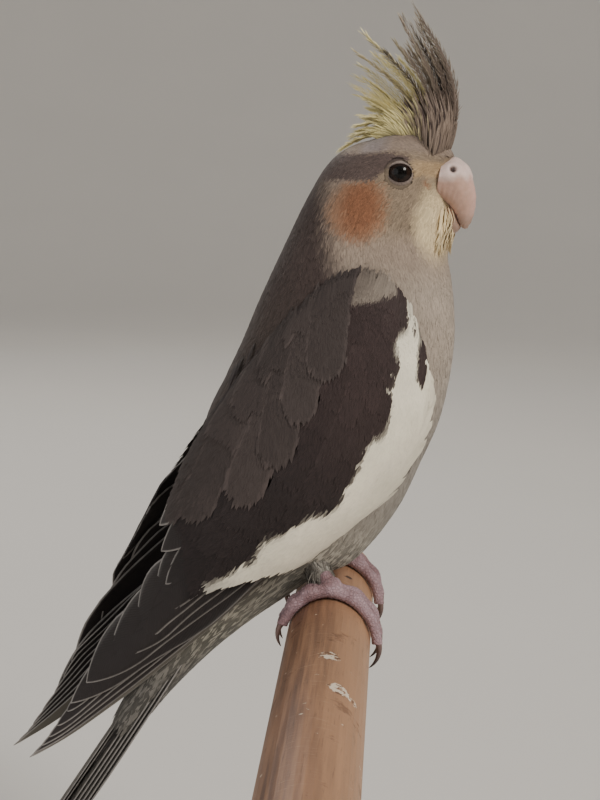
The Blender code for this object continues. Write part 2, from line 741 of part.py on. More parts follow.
def tail_core(name, collection):
    along = np.linspace(TAIL_CORE[0][0] + GAP, TAIL_CORE[-1][0], TAIL_RINGS)
    row = smooth(TAIL_CORE, along)
    turn = 2 * np.pi * np.arange(TAIL_SIDES) / TAIL_SIDES
    y = row[:, 0, None] * np.sign(np.cos(turn)) * np.abs(np.cos(turn)) ** 0.75
    up = row[:, 1, None] * np.sin(turn)
    return loft(name, tail_points(along[:, None], y, up), collection)


def tail_room(collection):
    row = np.array(TAIL_ROOM, float)
    turn = 2 * np.pi * np.arange(TAIL_SIDES) / TAIL_SIDES
    y = row[:, 1, None] * np.cos(turn)
    up = row[:, 2, None] * np.sin(turn)
    return loft("tail_room", tail_points(row[:, 0, None], y, up), collection)


def tail_vane(root, tip, middle, half, level, roof, collection, steps=7, clear=0.0):
    # A tail feather: middle and level are rows of y and of height along the tail, and
    # roof is how it falls away to the side. Its inner edge keeps clear of the middle.
    f = np.linspace(0, 1, steps + 1)
    along = root + (tip - root) * f
    half = half * np.interp(f, (0, 0.3, 0.85, 0.95, 1), (0.7, 1, 0.9, 0.6, 0.15))
    y = smooth(middle, along)[:, 0]
    up = smooth(level, along)[:, 0]
    faces = []
    for out in (VANE_THICK / 2, -VANE_THICK / 2):
        sides = []
        for v in (-1, 1):
            place = y + v * half
            if clear:
                place = np.sign(clear) * np.maximum(place * np.sign(clear), abs(clear))
            sides.append(tail_points(along, place, up - roof * np.abs(place) + out))
        faces.append(np.stack(sides, axis=1))
    return slab("tail_vane", faces[0], faces[1], collection)


def tail_feathers(collection):
    vanes = []
    for j, tip in enumerate(TAIL_LENGTHS):
        for side in (-1, 1):
            layer = j + 1 if j else (side + 1) / 2
            middle = [(along, side * (0.5 + j * pitch)) for along, pitch in TAIL_PITCH]
            level = [(along, TAIL_TOP - VANE_STEP * layer) for along, pitch in TAIL_PITCH]
            clear = side * 0.3 if j else 0.0
            roof = TAIL_ROOF if j else 0.0
            vanes.append(tail_vane(TAIL_ROOT, tip, middle, TAIL_HALF, level, roof, collection, clear=clear))
    return vanes


def tail_coverts(collection):
    # Shorter feathers over and under the tail's root, the middle one outermost.
    vanes = []
    for tips, side, lift in ((COVERT_OVER, 1, COVERT_LIFT[0]), (COVERT_UNDER, -1, COVERT_LIFT[1])):
        for k, tip in enumerate(tips):
            off = k - (len(tips) - 1) / 2
            low = lift - VANE_STEP * abs(off) - (0.15 if off > 0 else 0.0)
            middle = ((8, off * COVERT_PITCH * 0.8), (80, off * COVERT_PITCH * 0.9))
            level = ((8, side * (low - 1.0)), (26, side * (low + 0.8)), (80, side * (low - 1.0)))
            roof = TAIL_ROOF * side
            vanes.append(tail_vane(TAIL_ROOT, tip, middle, COVERT_HALF, level, roof, collection, steps=4))
    return vanes


def make_tail(parts, work):
    tail = tail_core("tail", parts)
    combine(tail, tail_feathers(work) + tail_coverts(work), "UNION")
    finish(tail, "tail")


def grip_path(start, end, clear_start, clear_end, y_start, y_end, count):
    # A path round the perch between two angles from its top, this far from its surface.
    f = np.linspace(0, 1, count)
    angle = np.radians(start + (end - start) * f)
    reach = PERCH_RADIUS + GAP + clear_start + (clear_end - clear_start) * f
    y = y_start + (y_end - y_start) * f
    return np.stack([reach * np.sin(angle), y, reach * np.cos(angle)], axis=1)


def make_foot(name, side, parts, work):
    middle = side * FOOT_Y
    palm = ball(name, (0.4, middle, PERCH_RADIUS + GAP + PALM_RADIUS), PALM_RADIUS, parts, 10, 6)
    pieces = []
    toes = [(y, FRONT_TOE, FRONT_CLAW) for y in FRONT_TOES] + [(y, REAR_TOE, REAR_CLAW) for y in REAR_TOES]
    for (root, tip), bend, claw in toes:
        root_y, tip_y = middle + side * root, middle + side * tip
        knuckle_y = root_y + (tip_y - root_y) * 0.7
        path = grip_path(0, bend, TOE_RADIUS, TOE_TIP_RADIUS, root_y, knuckle_y, TOE_STEPS + 1)
        swell = 1 + TOE_SWELL * (np.cos(np.linspace(0, 6 * np.pi, TOE_STEPS + 1)) - 1)
        radii = np.linspace(TOE_RADIUS, TOE_TIP_RADIUS, TOE_STEPS + 1) * swell
        pieces.append(tube("toe", path, radii, work))
        start = bend - 6 * np.sign(bend)
        path = grip_path(start, claw, TOE_TIP_RADIUS, CLAW_LIFT, knuckle_y, tip_y, CLAW_STEPS + 1)
        radii = np.linspace(CLAW_RADIUS, CLAW_TIP_RADIUS, CLAW_STEPS + 1)
        pieces.append(tube("claw", path, radii, work, sides=5))
    stub = np.array(FOOT_STUB)
    stub[:, 1] = middle - side * stub[:, 1]
    pieces.append(tube("stub", stub[:, 0:3], stub[:, 3], work))
    combine(palm, pieces, "UNION")
    finish(palm, "foot")


def make_leg(name, side, parts, work):
    row = smooth(LEG, np.linspace(0, LEG[-1][0], LEG_RINGS))
    x, inward, z = FOOT_STUB[-1][:3]
    path = np.stack([x - row[:, 0], side * (FOOT_Y - inward - row[:, 1]), z + row[:, 2]], axis=1)
    leg = tube(name, path, row[:, 3], parts, sides=LEG_SIDES)
    combine(leg, [torso_room(work)], "DIFFERENCE")
    finish(leg, "leg")


def make_perch(parts):
    length = (PERCH_FAR - PERCH_NEAR) * MM
    bpy.ops.mesh.primitive_cylinder_add(vertices=PERCH_SIDES, radius=PERCH_RADIUS * MM, depth=length)
    perch = bpy.context.object
    perch.name = "perch"
    perch.rotation_euler = (math.radians(90), 0, 0)
    perch.location = (0, 0, PERCH_HEIGHT * MM)
    edge = perch.modifiers.new("Edge", "BEVEL")
    edge.width = PERCH_EDGE * MM
    edge.segments = 2
    edge.limit_method = "ANGLE"
    edge.angle_limit = math.radians(60)
    move_to(perch, parts)
    finish(perch, "wood")


def move_to(thing, collection):
    for old in list(thing.users_collection):
        old.objects.unlink(thing)
    collection.objects.link(thing)


def make_rods(parts, cutters):
    low = (BASE_THICK + GAP) * MM
    high = PERCH_HEIGHT * MM
    room_length = (PERCH_FAR - PERCH_NEAR) * MM
    bpy.ops.mesh.primitive_cylinder_add(
        vertices=PERCH_SIDES, radius=(PERCH_RADIUS + GAP) * MM, depth=room_length,
        location=(0, 0, PERCH_HEIGHT * MM), rotation=(math.radians(90), 0, 0))
    room = bpy.context.object
    room.name = "perch_room"
    room.hide_render = True
    room.display_type = "WIRE"
    move_to(room, cutters)
    for name, y in (("stand_rod_near", -ROD_REACH), ("stand_rod_far", ROD_REACH)):
        bpy.ops.mesh.primitive_cylinder_add(
            vertices=20, radius=ROD_RADIUS * MM, depth=high - low,
            location=(0, y * MM, (low + high) / 2))
        rod = bpy.context.object
        rod.name = name
        saddle = rod.modifiers.new("Saddle", "BOOLEAN")
        saddle.operation = "DIFFERENCE"
        saddle.object = room
        move_to(rod, parts)
        finish(rod, "steel")


def make_base(parts):
    bpy.ops.mesh.primitive_cylinder_add(vertices=36, radius=1, depth=1)
    base = bpy.context.object
    base.name = "stand_base"
    size = (BASE_WIDTH / 2 * MM, BASE_LENGTH / 2 * MM, BASE_THICK * MM)
    base.data.transform(Matrix.Diagonal((*size, 1.0)))
    base.location = (0, 0, BASE_THICK / 2 * MM)
    edge = base.modifiers.new("Edge", "BEVEL")
    edge.width = BASE_EDGE * MM
    edge.segments = 2
    edge.limit_method = "ANGLE"
    edge.angle_limit = math.radians(60)
    move_to(base, parts)
    finish(base, "base")


def make_bird(parts, work):
    before = set(parts.objects)
    make_torso(parts)
    make_neck(parts)
    make_head(parts, work)
    make_eyes(parts)
    make_bills(parts, work)
    for name, side in (("right", -1), ("left", 1)):
        make_wing(f"wing_{name}", side, parts, work)
        make_foot(f"foot_{name}", side, parts, work)
        make_leg(f"leg_{name}", side, parts, work)
    make_tail(parts, work)
    bird = bpy.data.objects.new("bird", None)
    bird.location = (0, BIRD_Y * MM, PERCH_HEIGHT * MM)
    parts.objects.link(bird)
    for thing in set(parts.objects) - before - {bird}:
        thing.parent = bird


def main():
    clear_scene()
    parts = make_collection("cockatiel")
    cutters = make_collection("cutters")
    make_bird(parts, cutters)
    make_perch(parts)
    make_rods(parts, cutters)
    make_base(parts)


main()
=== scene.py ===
# A life-size cockatiel that grips a short cut perch, held by a plain oval stand.
# Places on the bird are millimetres from the perch's axis under the middle of the bird:
# x the way it faces, y to its left, z up. The head is shaped straight and turned last.
import math

import bpy
import numpy as np
from mathutils import Matrix, Vector


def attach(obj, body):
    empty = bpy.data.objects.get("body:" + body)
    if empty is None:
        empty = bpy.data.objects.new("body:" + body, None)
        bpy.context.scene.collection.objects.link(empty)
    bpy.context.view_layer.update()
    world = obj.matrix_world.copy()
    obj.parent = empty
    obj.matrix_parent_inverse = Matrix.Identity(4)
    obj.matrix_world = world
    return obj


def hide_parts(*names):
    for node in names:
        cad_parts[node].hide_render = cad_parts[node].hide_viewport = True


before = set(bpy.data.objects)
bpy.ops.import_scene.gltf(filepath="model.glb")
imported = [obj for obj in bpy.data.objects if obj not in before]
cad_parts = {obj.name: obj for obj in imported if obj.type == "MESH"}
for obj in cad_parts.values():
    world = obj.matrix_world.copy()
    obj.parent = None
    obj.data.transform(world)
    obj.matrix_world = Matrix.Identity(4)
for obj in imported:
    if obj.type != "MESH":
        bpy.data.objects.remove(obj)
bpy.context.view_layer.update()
birdPlace = np.array((0.0, 60.0, 134.0))  # the bird's origin in the stand's frame, mm

# Sections of the body from the tail's root to the crown: number, back x and z, belly x
# and z, half width, how much fuller toward the back
bodyRows = (
    (-2, -63.4, -31.3, -55.7, -36.0, 9.0, 0.0),
    (-1, -56.4, -17.0, -46.0, -23.4, 9.4, 0.0),
    (0, -49.9, -2.2, -34.9, -11.4, 9.8, 0.0),
    (1, -47.8, 9.8, -24.0, -1.6, 12.2, 0.0),
    (2, -45.2, 23.3, -13.4, 6.6, 15.6, 0.0),
    (3, -43.4, 36.0, -5.0, 13.2, 19.0, 0.0),
    (4, -41.6, 48.5, 4.6, 17.6, 21.8, 0.0),
    (5, -38.2, 61.5, 12.0, 25.5, 23.6, 0.0),
    (6, -33.3, 72.5, 19.0, 36.5, 24.4, 0.0),
    (7, -28.8, 83.0, 24.2, 49.0, 24.4, 0.0),
    (8, -24.9, 93.3, 28.8, 61.0, 23.8, 0.0),
    (9, -20.9, 103.0, 31.2, 73.0, 22.6, 0.0),
    (10, -17.3, 111.7, 32.2, 85.0, 20.6, 0.02),
    (11, -13.6, 120.3, 31.6, 95.0, 17.9, 0.05),
    (12, -10.0, 127.5, 30.4, 103.0, 15.9, 0.10),
    (13, -6.8, 133.0, 29.2, 109.5, 14.6, 0.16),
    (14, -3.0, 137.1, 30.2, 116.0, 13.9, 0.24),
    (15, 1.6, 139.8, 30.8, 122.5, 13.2, 0.30),
    (16, 6.4, 141.4, 31.4, 129.0, 12.1, 0.34),
    (17, 11.0, 143.0, 31.3, 135.0, 10.2, 0.32),
    (18, 16.0, 144.2, 28.8, 139.6, 6.6, 0.20),
    (19, 20.5, 144.3, 24.2, 143.0, 2.4, 0.0),
)
head = {"turn": 12.0, "axisX": 4.0, "turnFrom": 100.0, "turnTo": 115.0}

# The feathered thigh: number, place from the foot's stub back, inward and up, radius
leg = {
    "rows": (
        (0, 0.2, 0.3, 0.6, 2.0), (1, 1.4, 1.3, 2.1, 2.8), (2, 2.8, 3.4, 4.9, 3.6), (3, 4.2, 5.6, 8.6, 4.2),
        (4, 5.4, 8.2, 12.6, 4.2),
    ),
    "stub": (-2.4, 15.3, 17.9),
}

# The folded wing: s runs from its bend back and down, t across it toward the back
wing = {
    "x": 23.0, "z": 84.0, "slope": 50.0, "leftReach": 5.0,
    "leftLift": ((40, 0.0), (64, 0.2), (75, 1.8), (85, 4.6), (97, 6.4), (110, 6.6), (125, 5.8), (145, 5.0)),
    "shell": (  # s, middle, reach up and down, reach out
        (-12, 13.0, 34.0, 25.5), (0, 11.5, 34.0, 27.5), (20, 8.0, 33.5, 29.2), (40, 6.0, 31.5, 29.6),
        (60, 5.0, 28.0, 29.2), (80, 3.5, 23.5, 27.0), (100, 0.5, 17.8, 21.8), (120, -0.5, 14.0, 15.6),
        (145, 0.5, 10.8, 10.2), (178, 1.5, 8.5, 6.8),
    ),
    "edges": (  # s, lower and upper edge
        (-7, 11.0, 22.0), (-4, 4.6, 27.0), (2, -3.8, 30.5), (12, -12.8, 32.5), (26, -19.2, 33.5),
        (40, -20.6, 33.3), (54, -18.8, 32.0), (68, -16.4, 29.3), (82, -14.2, 24.8), (98, -12.6, 17.6),
        (116, -10.2, 13.2), (143, -6.0, 10.2), (160, -2.4, 8.0), (174, 2.0, 5.2),
    ),
}
tail = {"x": -36.2, "z": 3.4, "slope": 58.5}


def smooth(rows, at):
    # A curve through every row, read at the values of the first column given in at.
    rows = np.array(rows, float)
    at = np.asarray(at, float)
    key, values = rows[:, 0], rows[:, 1:]
    slope = np.gradient(values, key, axis=0)
    i = np.clip(np.searchsorted(key, at, side="right") - 1, 0, len(key) - 2)
    span = (key[i + 1] - key[i])[..., None]
    f = (at - key[i])[..., None] / span
    rise = values[i + 1] - values[i]
    turn = f * (1 - f) ** 2 * (slope[i] * span - rise) - f * f * (1 - f) * (slope[i + 1] * span - rise)
    return values[i] + rise * f + turn


def ease(low, high, value):
    f = np.clip((value - low) / (high - low), 0, 1)
    return f * f * (3 - 2 * f)


def unit(vectors):
    return vectors / np.maximum(np.linalg.norm(vectors, axis=-1, keepdims=True), 1e-9)


def srgb(red, green, blue):
    # A linear colour from the 0 to 255 values that a picture shows.
    c = np.array((red, green, blue), float) / 255
    return np.where(c <= 0.04045, c / 12.92, ((c + 0.055) / 1.055) ** 2.4)


def blendColour(first, second, share):
    return first + (second - first) * np.asarray(share)[..., None]


def turnHead(points):
    # Turns points about the upright line at axisX, more the higher they are.
    points = np.array(points, float)
    angle = np.radians(head["turn"]) * ease(head["turnFrom"], head["turnTo"], points[..., 2])
    x, y = points[..., 0] - head["axisX"], points[..., 1].copy()
    points[..., 0] = head["axisX"] + x * np.cos(angle) + y * np.sin(angle)
    points[..., 1] = y * np.cos(angle) - x * np.sin(angle)
    return points


def bodyPoint(n, turn):
    # Egg-shaped sections: cos runs from belly to back, sin from the middle to the side.
    row = smooth(bodyRows, n)
    cos, sin = np.cos(turn), np.sin(turn)
    x = (row[..., 0] + row[..., 2]) / 2 + (row[..., 0] - row[..., 2]) / 2 * cos
    z = (row[..., 1] + row[..., 3]) / 2 + (row[..., 1] - row[..., 3]) / 2 * cos
    y = row[..., 4] * sin * (1 + row[..., 5] * cos)
    return np.stack([x, y, z], axis=-1)


def legSurface(side):
    # Rounds set along the thigh, from the foot up into the belly.
    def point(n, turn):
        row = smooth(leg["rows"], n)
        x = leg["stub"][0] - row[..., 0] + row[..., 3] * np.cos(turn)
        y = side * (leg["stub"][1] - row[..., 1]) + row[..., 3] * np.sin(turn)
        return np.stack([x, y, leg["stub"][2] + row[..., 2]], axis=-1)
    return point


def wingSurface(side):
    # The oval tube that the folded wing lies on, as a function of s and t.
    def point(s, t):
        row = smooth(wing["shell"], s)
        middle, high, wide = row[..., 0], row[..., 1], row[..., 2]
        if side > 0:
            lift = np.interp(s, *np.transpose(wing["leftLift"]))
            t = t + lift
            high = high + lift
            s = s + wing["leftReach"] * ease(60, 150, s)
        cos = np.clip((t - middle) / high, -0.99, 0.985)
        slope = math.radians(wing["slope"])
        t = middle + high * cos
        y = side * wide * np.sqrt(1 - cos * cos)
        x = wing["x"] - s * math.cos(slope) - t * math.sin(slope)
        z = wing["z"] - s * math.sin(slope) + t * math.cos(slope)
        return np.stack([x, y, z], axis=-1)
    return point


def tailPoint(along, y, up):
    slope = math.radians(tail["slope"])
    x = tail["x"] - along * math.cos(slope) - up * math.sin(slope)
    z = tail["z"] - along * math.sin(slope) + up * math.cos(slope)
    return np.stack(np.broadcast_arrays(x, y, z), axis=-1)


def normalsOf(surface, u, v, outside):
    # Across the two directions of the surface; outside is 1 or -1, for the side that shows.
    step = 1e-3
    here = surface(u, v)
    across = np.cross(surface(u + step, v) - here, surface(u, v + step) - here)
    return here, unit(across) * outside


# Shader building
class Wire:
    # Wraps a socket, so that arithmetic on it adds Math nodes.
    def __init__(self, tree, socket):
        self.tree = tree
        self.socket = socket

    def math(self, operation, first, second=0.0):
        node = self.tree.nodes.new("ShaderNodeMath")
        node.operation = operation
        for place, value in zip(node.inputs, (first, second)):
            if isinstance(value, Wire):
                self.tree.links.new(value.socket, place)
            else:
                place.default_value = float(value)
        return Wire(self.tree, node.outputs[0])

    def __add__(self, other):
        return self.math("ADD", self, other)

    def __radd__(self, other):
        return self.math("ADD", other, self)

    def __sub__(self, other):
        return self.math("SUBTRACT", self, other)

    def __rsub__(self, other):
        return self.math("SUBTRACT", other, self)

    def __mul__(self, other):
        return self.math("MULTIPLY", self, other)

    def __rmul__(self, other):
        return self.math("MULTIPLY", other, self)

    def sine(self):
        return self.math("SINE", self)

    def size(self):
        return self.math("ABSOLUTE", self)


class Finish:
    # One material: node adds any node, and the other methods are short forms of it.
    def __init__(self, name):
        self.material = bpy.data.materials.new(name)
        self.material.use_nodes = True
        self.tree = self.material.node_tree
        self.tree.nodes.clear()

    def node(self, kind, settings, inputs, output=0):
        made = self.tree.nodes.new(kind)
        for key, value in settings.items():
            if key == "stops":
                self.setStops(made, value)
            else:
                setattr(made, key, value)
        for key, value in inputs.items():
            if isinstance(value, Wire):
                self.tree.links.new(value.socket, made.inputs[key])
            else:
                made.inputs[key].default_value = value
        return Wire(self.tree, made.outputs[output]) if made.outputs else None

    def setStops(self, ramp, stops):
        elements = ramp.color_ramp.elements
        while len(elements) < len(stops):
            elements.new(0.5)
        for element, (place, value) in zip(elements, stops):
            element.position = place
            element.color = (*value, 1.0)

    def place(self, scale=(1.0, 1.0, 1.0)):
        where = self.node("ShaderNodeTexCoord", {}, {}, "Object")
        if scale == (1.0, 1.0, 1.0):
            return where
        return self.node("ShaderNodeMapping", {}, {"Vector": where, "Scale": scale})

    def attribute(self, name, output="Color"):
        return self.node("ShaderNodeAttribute", {"attribute_name": name}, {}, output)

    def noise(self, scale, detail=3.0, rough=0.5, where=None):
        inputs = {"Vector": where or self.place(), "Scale": scale, "Detail": detail, "Roughness": rough}
        return self.node("ShaderNodeTexNoise", {}, inputs, "Fac")

    def cells(self, scale, where=None, output="Distance", feature="F1"):
        inputs = {"Vector": where or self.place(), "Scale": scale}
        return self.node("ShaderNodeTexVoronoi", {"feature": feature}, inputs, output)

    def range(self, value, low, high, out=(0.0, 1.0)):
        inputs = {"Value": value, "From Min": low, "From Max": high, "To Min": out[0], "To Max": out[1]}
        return self.node("ShaderNodeMapRange", {"interpolation_type": "SMOOTHSTEP"}, inputs)

    def mix(self, share, first, second, how="MIX"):
        inputs = {0: share, 6: self.colour(first), 7: self.colour(second)}
        return self.node("ShaderNodeMix", {"data_type": "RGBA", "blend_type": how}, inputs, 2)

    def colour(self, value):
        return value if isinstance(value, Wire) else (*value, 1.0)

    def brighten(self, colour, amount):
        # Multiplies a colour by a value.
        grey = self.node("ShaderNodeCombineColor", {}, {"Red": amount, "Green": amount, "Blue": amount})
        return self.mix(1.0, colour, grey, "MULTIPLY")

    def parts(self, vector, output):
        return self.node("ShaderNodeSeparateXYZ", {}, {"Vector": vector}, output)

    def apart(self, point):
        # How far the surface is from a point given in metres.
        inputs = {0: self.place(), 1: point}
        return self.node("ShaderNodeVectorMath", {"operation": "DISTANCE"}, inputs, "Value")

    def bump(self, height, strength, distance):
        return self.node("ShaderNodeBump", {}, {"Height": height, "Strength": strength, "Distance": distance})

    def done(self, inputs):
        shader = self.node("ShaderNodeBsdfPrincipled", {}, inputs)
        self.node("ShaderNodeOutputMaterial", {}, {"Surface": shader})
        return self.material


feathersLook = {
    "soft": {"rays": 2.0, "slant": 1.0, "ray": 0.02, "edge": (0.5, 1.0), "fringe": 0.0, "shade": 0.05,
             "chance": 0.13, "shaft": 0.0, "stripes": 3.0, "sheen": 0.14, "rough": 0.66, "bump": 0.00004},
    "covert": {"rays": 2.0, "slant": 1.0, "ray": 0.02, "edge": (0.5, 1.0), "fringe": 0.0, "shade": 0.05,
               "chance": 0.11, "shaft": 0.0, "stripes": 3.0, "sheen": 0.08, "rough": 0.62, "bump": 0.00003},
    "flight": {"rays": 70.0, "slant": 9.0, "ray": 0.03, "edge": (0.90, 0.965), "fringe": 0.85, "shade": 0.0,
               "chance": 0.18, "shaft": 0.16, "stripes": 42.0, "sheen": 0.05, "rough": 0.55, "bump": 0.00008},
    "crest": {"rays": 3.0, "slant": 1.0, "ray": 0.03, "edge": (0.6, 1.0), "fringe": 0.0, "shade": 0.05,
              "chance": 0.18, "shaft": 0.0, "stripes": 3.0, "sheen": 0.15, "rough": 0.62, "bump": 0.00005},
}
fringeColour = srgb(158, 153, 149)


def plumage(name):
    # The tint of each feather, uneven from feather to feather and over the body, with fine
    # barbs from its shaft, a pale or shaded edge, and bars where the tint's alpha asks.
    look = feathersLook[name]
    paint = Finish(name + "Feathers")
    vane = paint.attribute("vane", "Vector")
    across = paint.parts(vane, "X").size()
    along = paint.parts(vane, "Y")
    chance = paint.parts(vane, "Z")
    ray = ((along * look["rays"] - across * look["slant"] + chance * 7.0) * 6.283).sine()
    edge = paint.range(across, *look["edge"])
    shaft = 1.0 - paint.range(across, 0.015, 0.07)
    patchy = paint.noise(500.0, 3.0)
    broad = paint.noise(110.0, 3.0)
    bars = paint.attribute("tint", "Alpha")
    stripe = paint.range(((along * look["stripes"] - across * 0.5 + chance * 1.5) * 6.283).sine(), -0.2, 0.3)
    # along * 0.05 is painted shade: each feather is a little darker toward its root, where the feathers over it shade
    # it, and lighter at its tip.
    light = 0.70 + chance * look["chance"] + patchy * 0.14 + broad * 0.34 + along * 0.05 + ray * look["ray"]
    light = light * (1.0 - edge * look["shade"] - shaft * look["shaft"]) * (1.0 - bars * stripe * 0.7)
    colour = paint.brighten(paint.attribute("tint"), light)
    if look["fringe"]:
        colour = paint.mix(edge * look["fringe"] * paint.range(patchy, 0.25, 0.6, (0.7, 1.0)), colour, fringeColour)
    return paint.done({
        "Base Color": colour,
        "Roughness": look["rough"] + patchy * 0.2,
        "Normal": paint.bump(ray * 0.6 + shaft * look["shaft"] * 4.0 + patchy * 0.5, 0.4, look["bump"]),
        "Sheen Weight": look["sheen"],
        "Sheen Roughness": 0.45,
        "Specular IOR Level": 0.25,
    })


def bareSkin():
    paint = Finish("bareSkin")
    grain = paint.noise(900.0, 4.0)
    return paint.done({
        "Base Color": paint.brighten(paint.attribute("tint"), 0.55 + grain * 0.4),
        "Roughness": 0.8 + grain * 0.1,
        "Normal": paint.bump(grain, 0.4, 0.0002),
    })


# Meshes
def makePiece(name, points, faces, material, slot, replaces=(), tint=None, vane=None, uv=None, turned=False):
    # A mesh from points in bird millimetres. faces is a list of arrays of 3 or 4 indices.
    points = turnHead(points) if turned else np.asarray(points, float)
    points = ((points.reshape(-1, 3) + birdPlace) * 0.001).astype(np.float32)
    loops = np.concatenate([face.ravel() for face in faces]).astype(np.int32)
    sizes = np.concatenate([np.full(len(face), face.shape[1]) for face in faces])
    starts = np.concatenate([[0], np.cumsum(sizes)[:-1]]).astype(np.int32)
    mesh = bpy.data.meshes.new(name)
    mesh.vertices.add(len(points))
    mesh.vertices.foreach_set("co", points.ravel())
    mesh.loops.add(len(loops))
    mesh.loops.foreach_set("vertex_index", loops)
    mesh.polygons.add(len(sizes))
    mesh.polygons.foreach_set("loop_start", starts)
    mesh.update(calc_edges=True)
    if tint is not None:
        layer = mesh.attributes.new("tint", "FLOAT_COLOR", "POINT")
        layer.data.foreach_set("color", np.asarray(tint, np.float32).ravel())
    if vane is not None:
        layer = mesh.attributes.new("vane", "FLOAT_VECTOR", "POINT")
        layer.data.foreach_set("vector", np.asarray(vane, np.float32).ravel())
    if uv is not None:
        layer = mesh.uv_layers.new(name="OFBake")
        layer.uv.foreach_set("vector", np.asarray(uv, np.float32).reshape(-1, 2)[loops].ravel())
    mesh.validate()
    mesh.shade_smooth()
    mesh.materials.append(material)
    piece = bpy.data.objects.new(name, mesh)
    bpy.context.scene.collection.objects.link(piece)
    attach(piece, "root")
    if replaces:
        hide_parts(*replaces)
    triangles = int(np.sum(sizes - 2))
    print(f"{name}: {triangles} triangles")
    return piece


def gridFaces(rows, columns, wrap=False):
    # Quads between neighbours of a grid, joined round in the second direction if wrap.
    i = np.arange(rows - 1)[:, None]
    j = np.arange(columns if wrap else columns - 1)[None, :]
    k = (j + 1) % columns
    corners = [i * columns + j, i * columns + k, (i + 1) * columns + k, (i + 1) * columns + j]
    return np.stack(np.broadcast_arrays(*corners), axis=-1).reshape(-1, 4)


def tubeFaces(rows, columns, count=1):
    # Grids joined round, each with its first and last ring closed by a fan to an end point.
    # Each tube's points are its rings, then its first and its last end.
    j = np.arange(columns)
    k = (j + 1) % columns
    total = rows * columns
    start = np.stack([np.full(columns, total), k, j], axis=1)
    end = np.stack([np.full(columns, total + 1), total - columns + j, total - columns + k], axis=1)
    first = (total + 2) * np.arange(count)[:, None, None]
    quads = (gridFaces(rows, columns, True) + first).reshape(-1, 4)
    return [quads, (np.concatenate([start, end]) + first).reshape(-1, 3)]


def flipFaces(faces):
    return [face[:, ::-1] for face in faces]


def tubePoints(path, radii, across, sides, lobe=None):
    # Rounds of the given radii along a path. lobe scales each round by its own angle.
    way = unit(np.gradient(path, axis=0))
    side = unit(across - way * np.sum(way * across, axis=1)[:, None])
    up = np.cross(way, side)
    turn = 2 * np.pi * np.arange(sides) / sides
    radii = np.asarray(radii, float)[:, None] * (np.ones(sides) if lobe is None else lobe)
    ring = np.cos(turn)[None, :, None] * side[:, None] + np.sin(turn)[None, :, None] * up[:, None]
    points = path[:, None] + radii[..., None] * ring
    return np.concatenate([points.reshape(-1, 3), path[:1], path[-1:]])


def slabPiece(name, outer, inner, tint, vane, uv, material, slot, replaces=(), turned=False):
    # Closed blades between grids of points: outer and inner are count, rows, columns, 3.
    count, rows, columns = outer.shape[:3]
    points = np.concatenate([outer.reshape(count, -1, 3), inner.reshape(count, -1, 3)], axis=1)
    back = rows * columns
    face = gridFaces(rows, columns)
    rim = list(range(columns)) + [i * columns + columns - 1 for i in range(1, rows)]
    rim += [(rows - 1) * columns + j for j in range(columns - 2, -1, -1)]
    rim += [i * columns for i in range(rows - 2, 0, -1)]
    a = np.array(rim)
    b = np.roll(a, -1)
    wall = np.stack([a, a + back, b + back, b], axis=1)
    quads = np.concatenate([face, face[:, ::-1] + back, wall])
    first = 2 * back * np.arange(count)[:, None, None]
    faces = [(quads + first).reshape(-1, 4)]
    twice = [np.concatenate([layer, layer], axis=1) for layer in (tint, vane, uv)]
    return makePiece(name, points, faces, material, slot, replaces, *twice, turned)


def bladeLayers(outerShape, tint, chance, bars=0.0, halves=None):
    # Across, along and chance for each point, its colour, and a strip of its own to bake.
    # Where half widths are given, across is 1 - (1 - |v|) half / 6: an edge of even width.
    count, rows, columns = outerShape
    v = np.linspace(-1, 1, columns)[None, None, :] + np.zeros((count, rows, columns))
    f = np.linspace(0, 1, rows)[None, :, None] + np.zeros((count, rows, columns))
    across = v if halves is None else 1 - (1 - np.abs(v)) * halves[..., None] / 6.0
    vane = np.stack([across, f, chance[:, None, None] + 0 * v], axis=-1)
    colours = np.zeros((count, rows, columns, 4))
    colours[..., :3] = tint if tint.ndim == 4 else tint[:, None, None]
    colours[..., 3] = bars
    strip = 0.9 / count
    u = (np.arange(count)[:, None, None] + 0.5) / count + v * strip / 2
    uv = np.stack([u, 0.02 + 0.96 * f], axis=-1)
    return (colours.reshape(count, -1, 4), vane.reshape(count, -1, 3), uv.reshape(count, -1, 2))


# A tuft is a closed blade of 18 triangles: three rings, each of two edges and a top
tuft = {"along": (0.16, 0.52, 0.82), "wide": (0.75, 1.0, 0.60), "across": (-1, 0, 1), "top": (0, 1, 0)}


def tuftFaces(count):
    rings, sides = 3, 3
    tip = rings * sides + 1
    quads, tris = [], []
    for j in range(sides):
        k = (j + 1) % sides
        tris.append((0, 1 + k, 1 + j))
        tris.append((tip, tip - sides + j, tip - sides + k))
        for ring in range(rings - 1):
            a = 1 + sides * ring
            quads.append((a + j, a + k, a + k + sides, a + j + sides))
    first = (tip + 1) * np.arange(count)[:, None, None]
    return [(np.array(quads) + first).reshape(-1, 4), (np.array(tris) + first).reshape(-1, 3)]


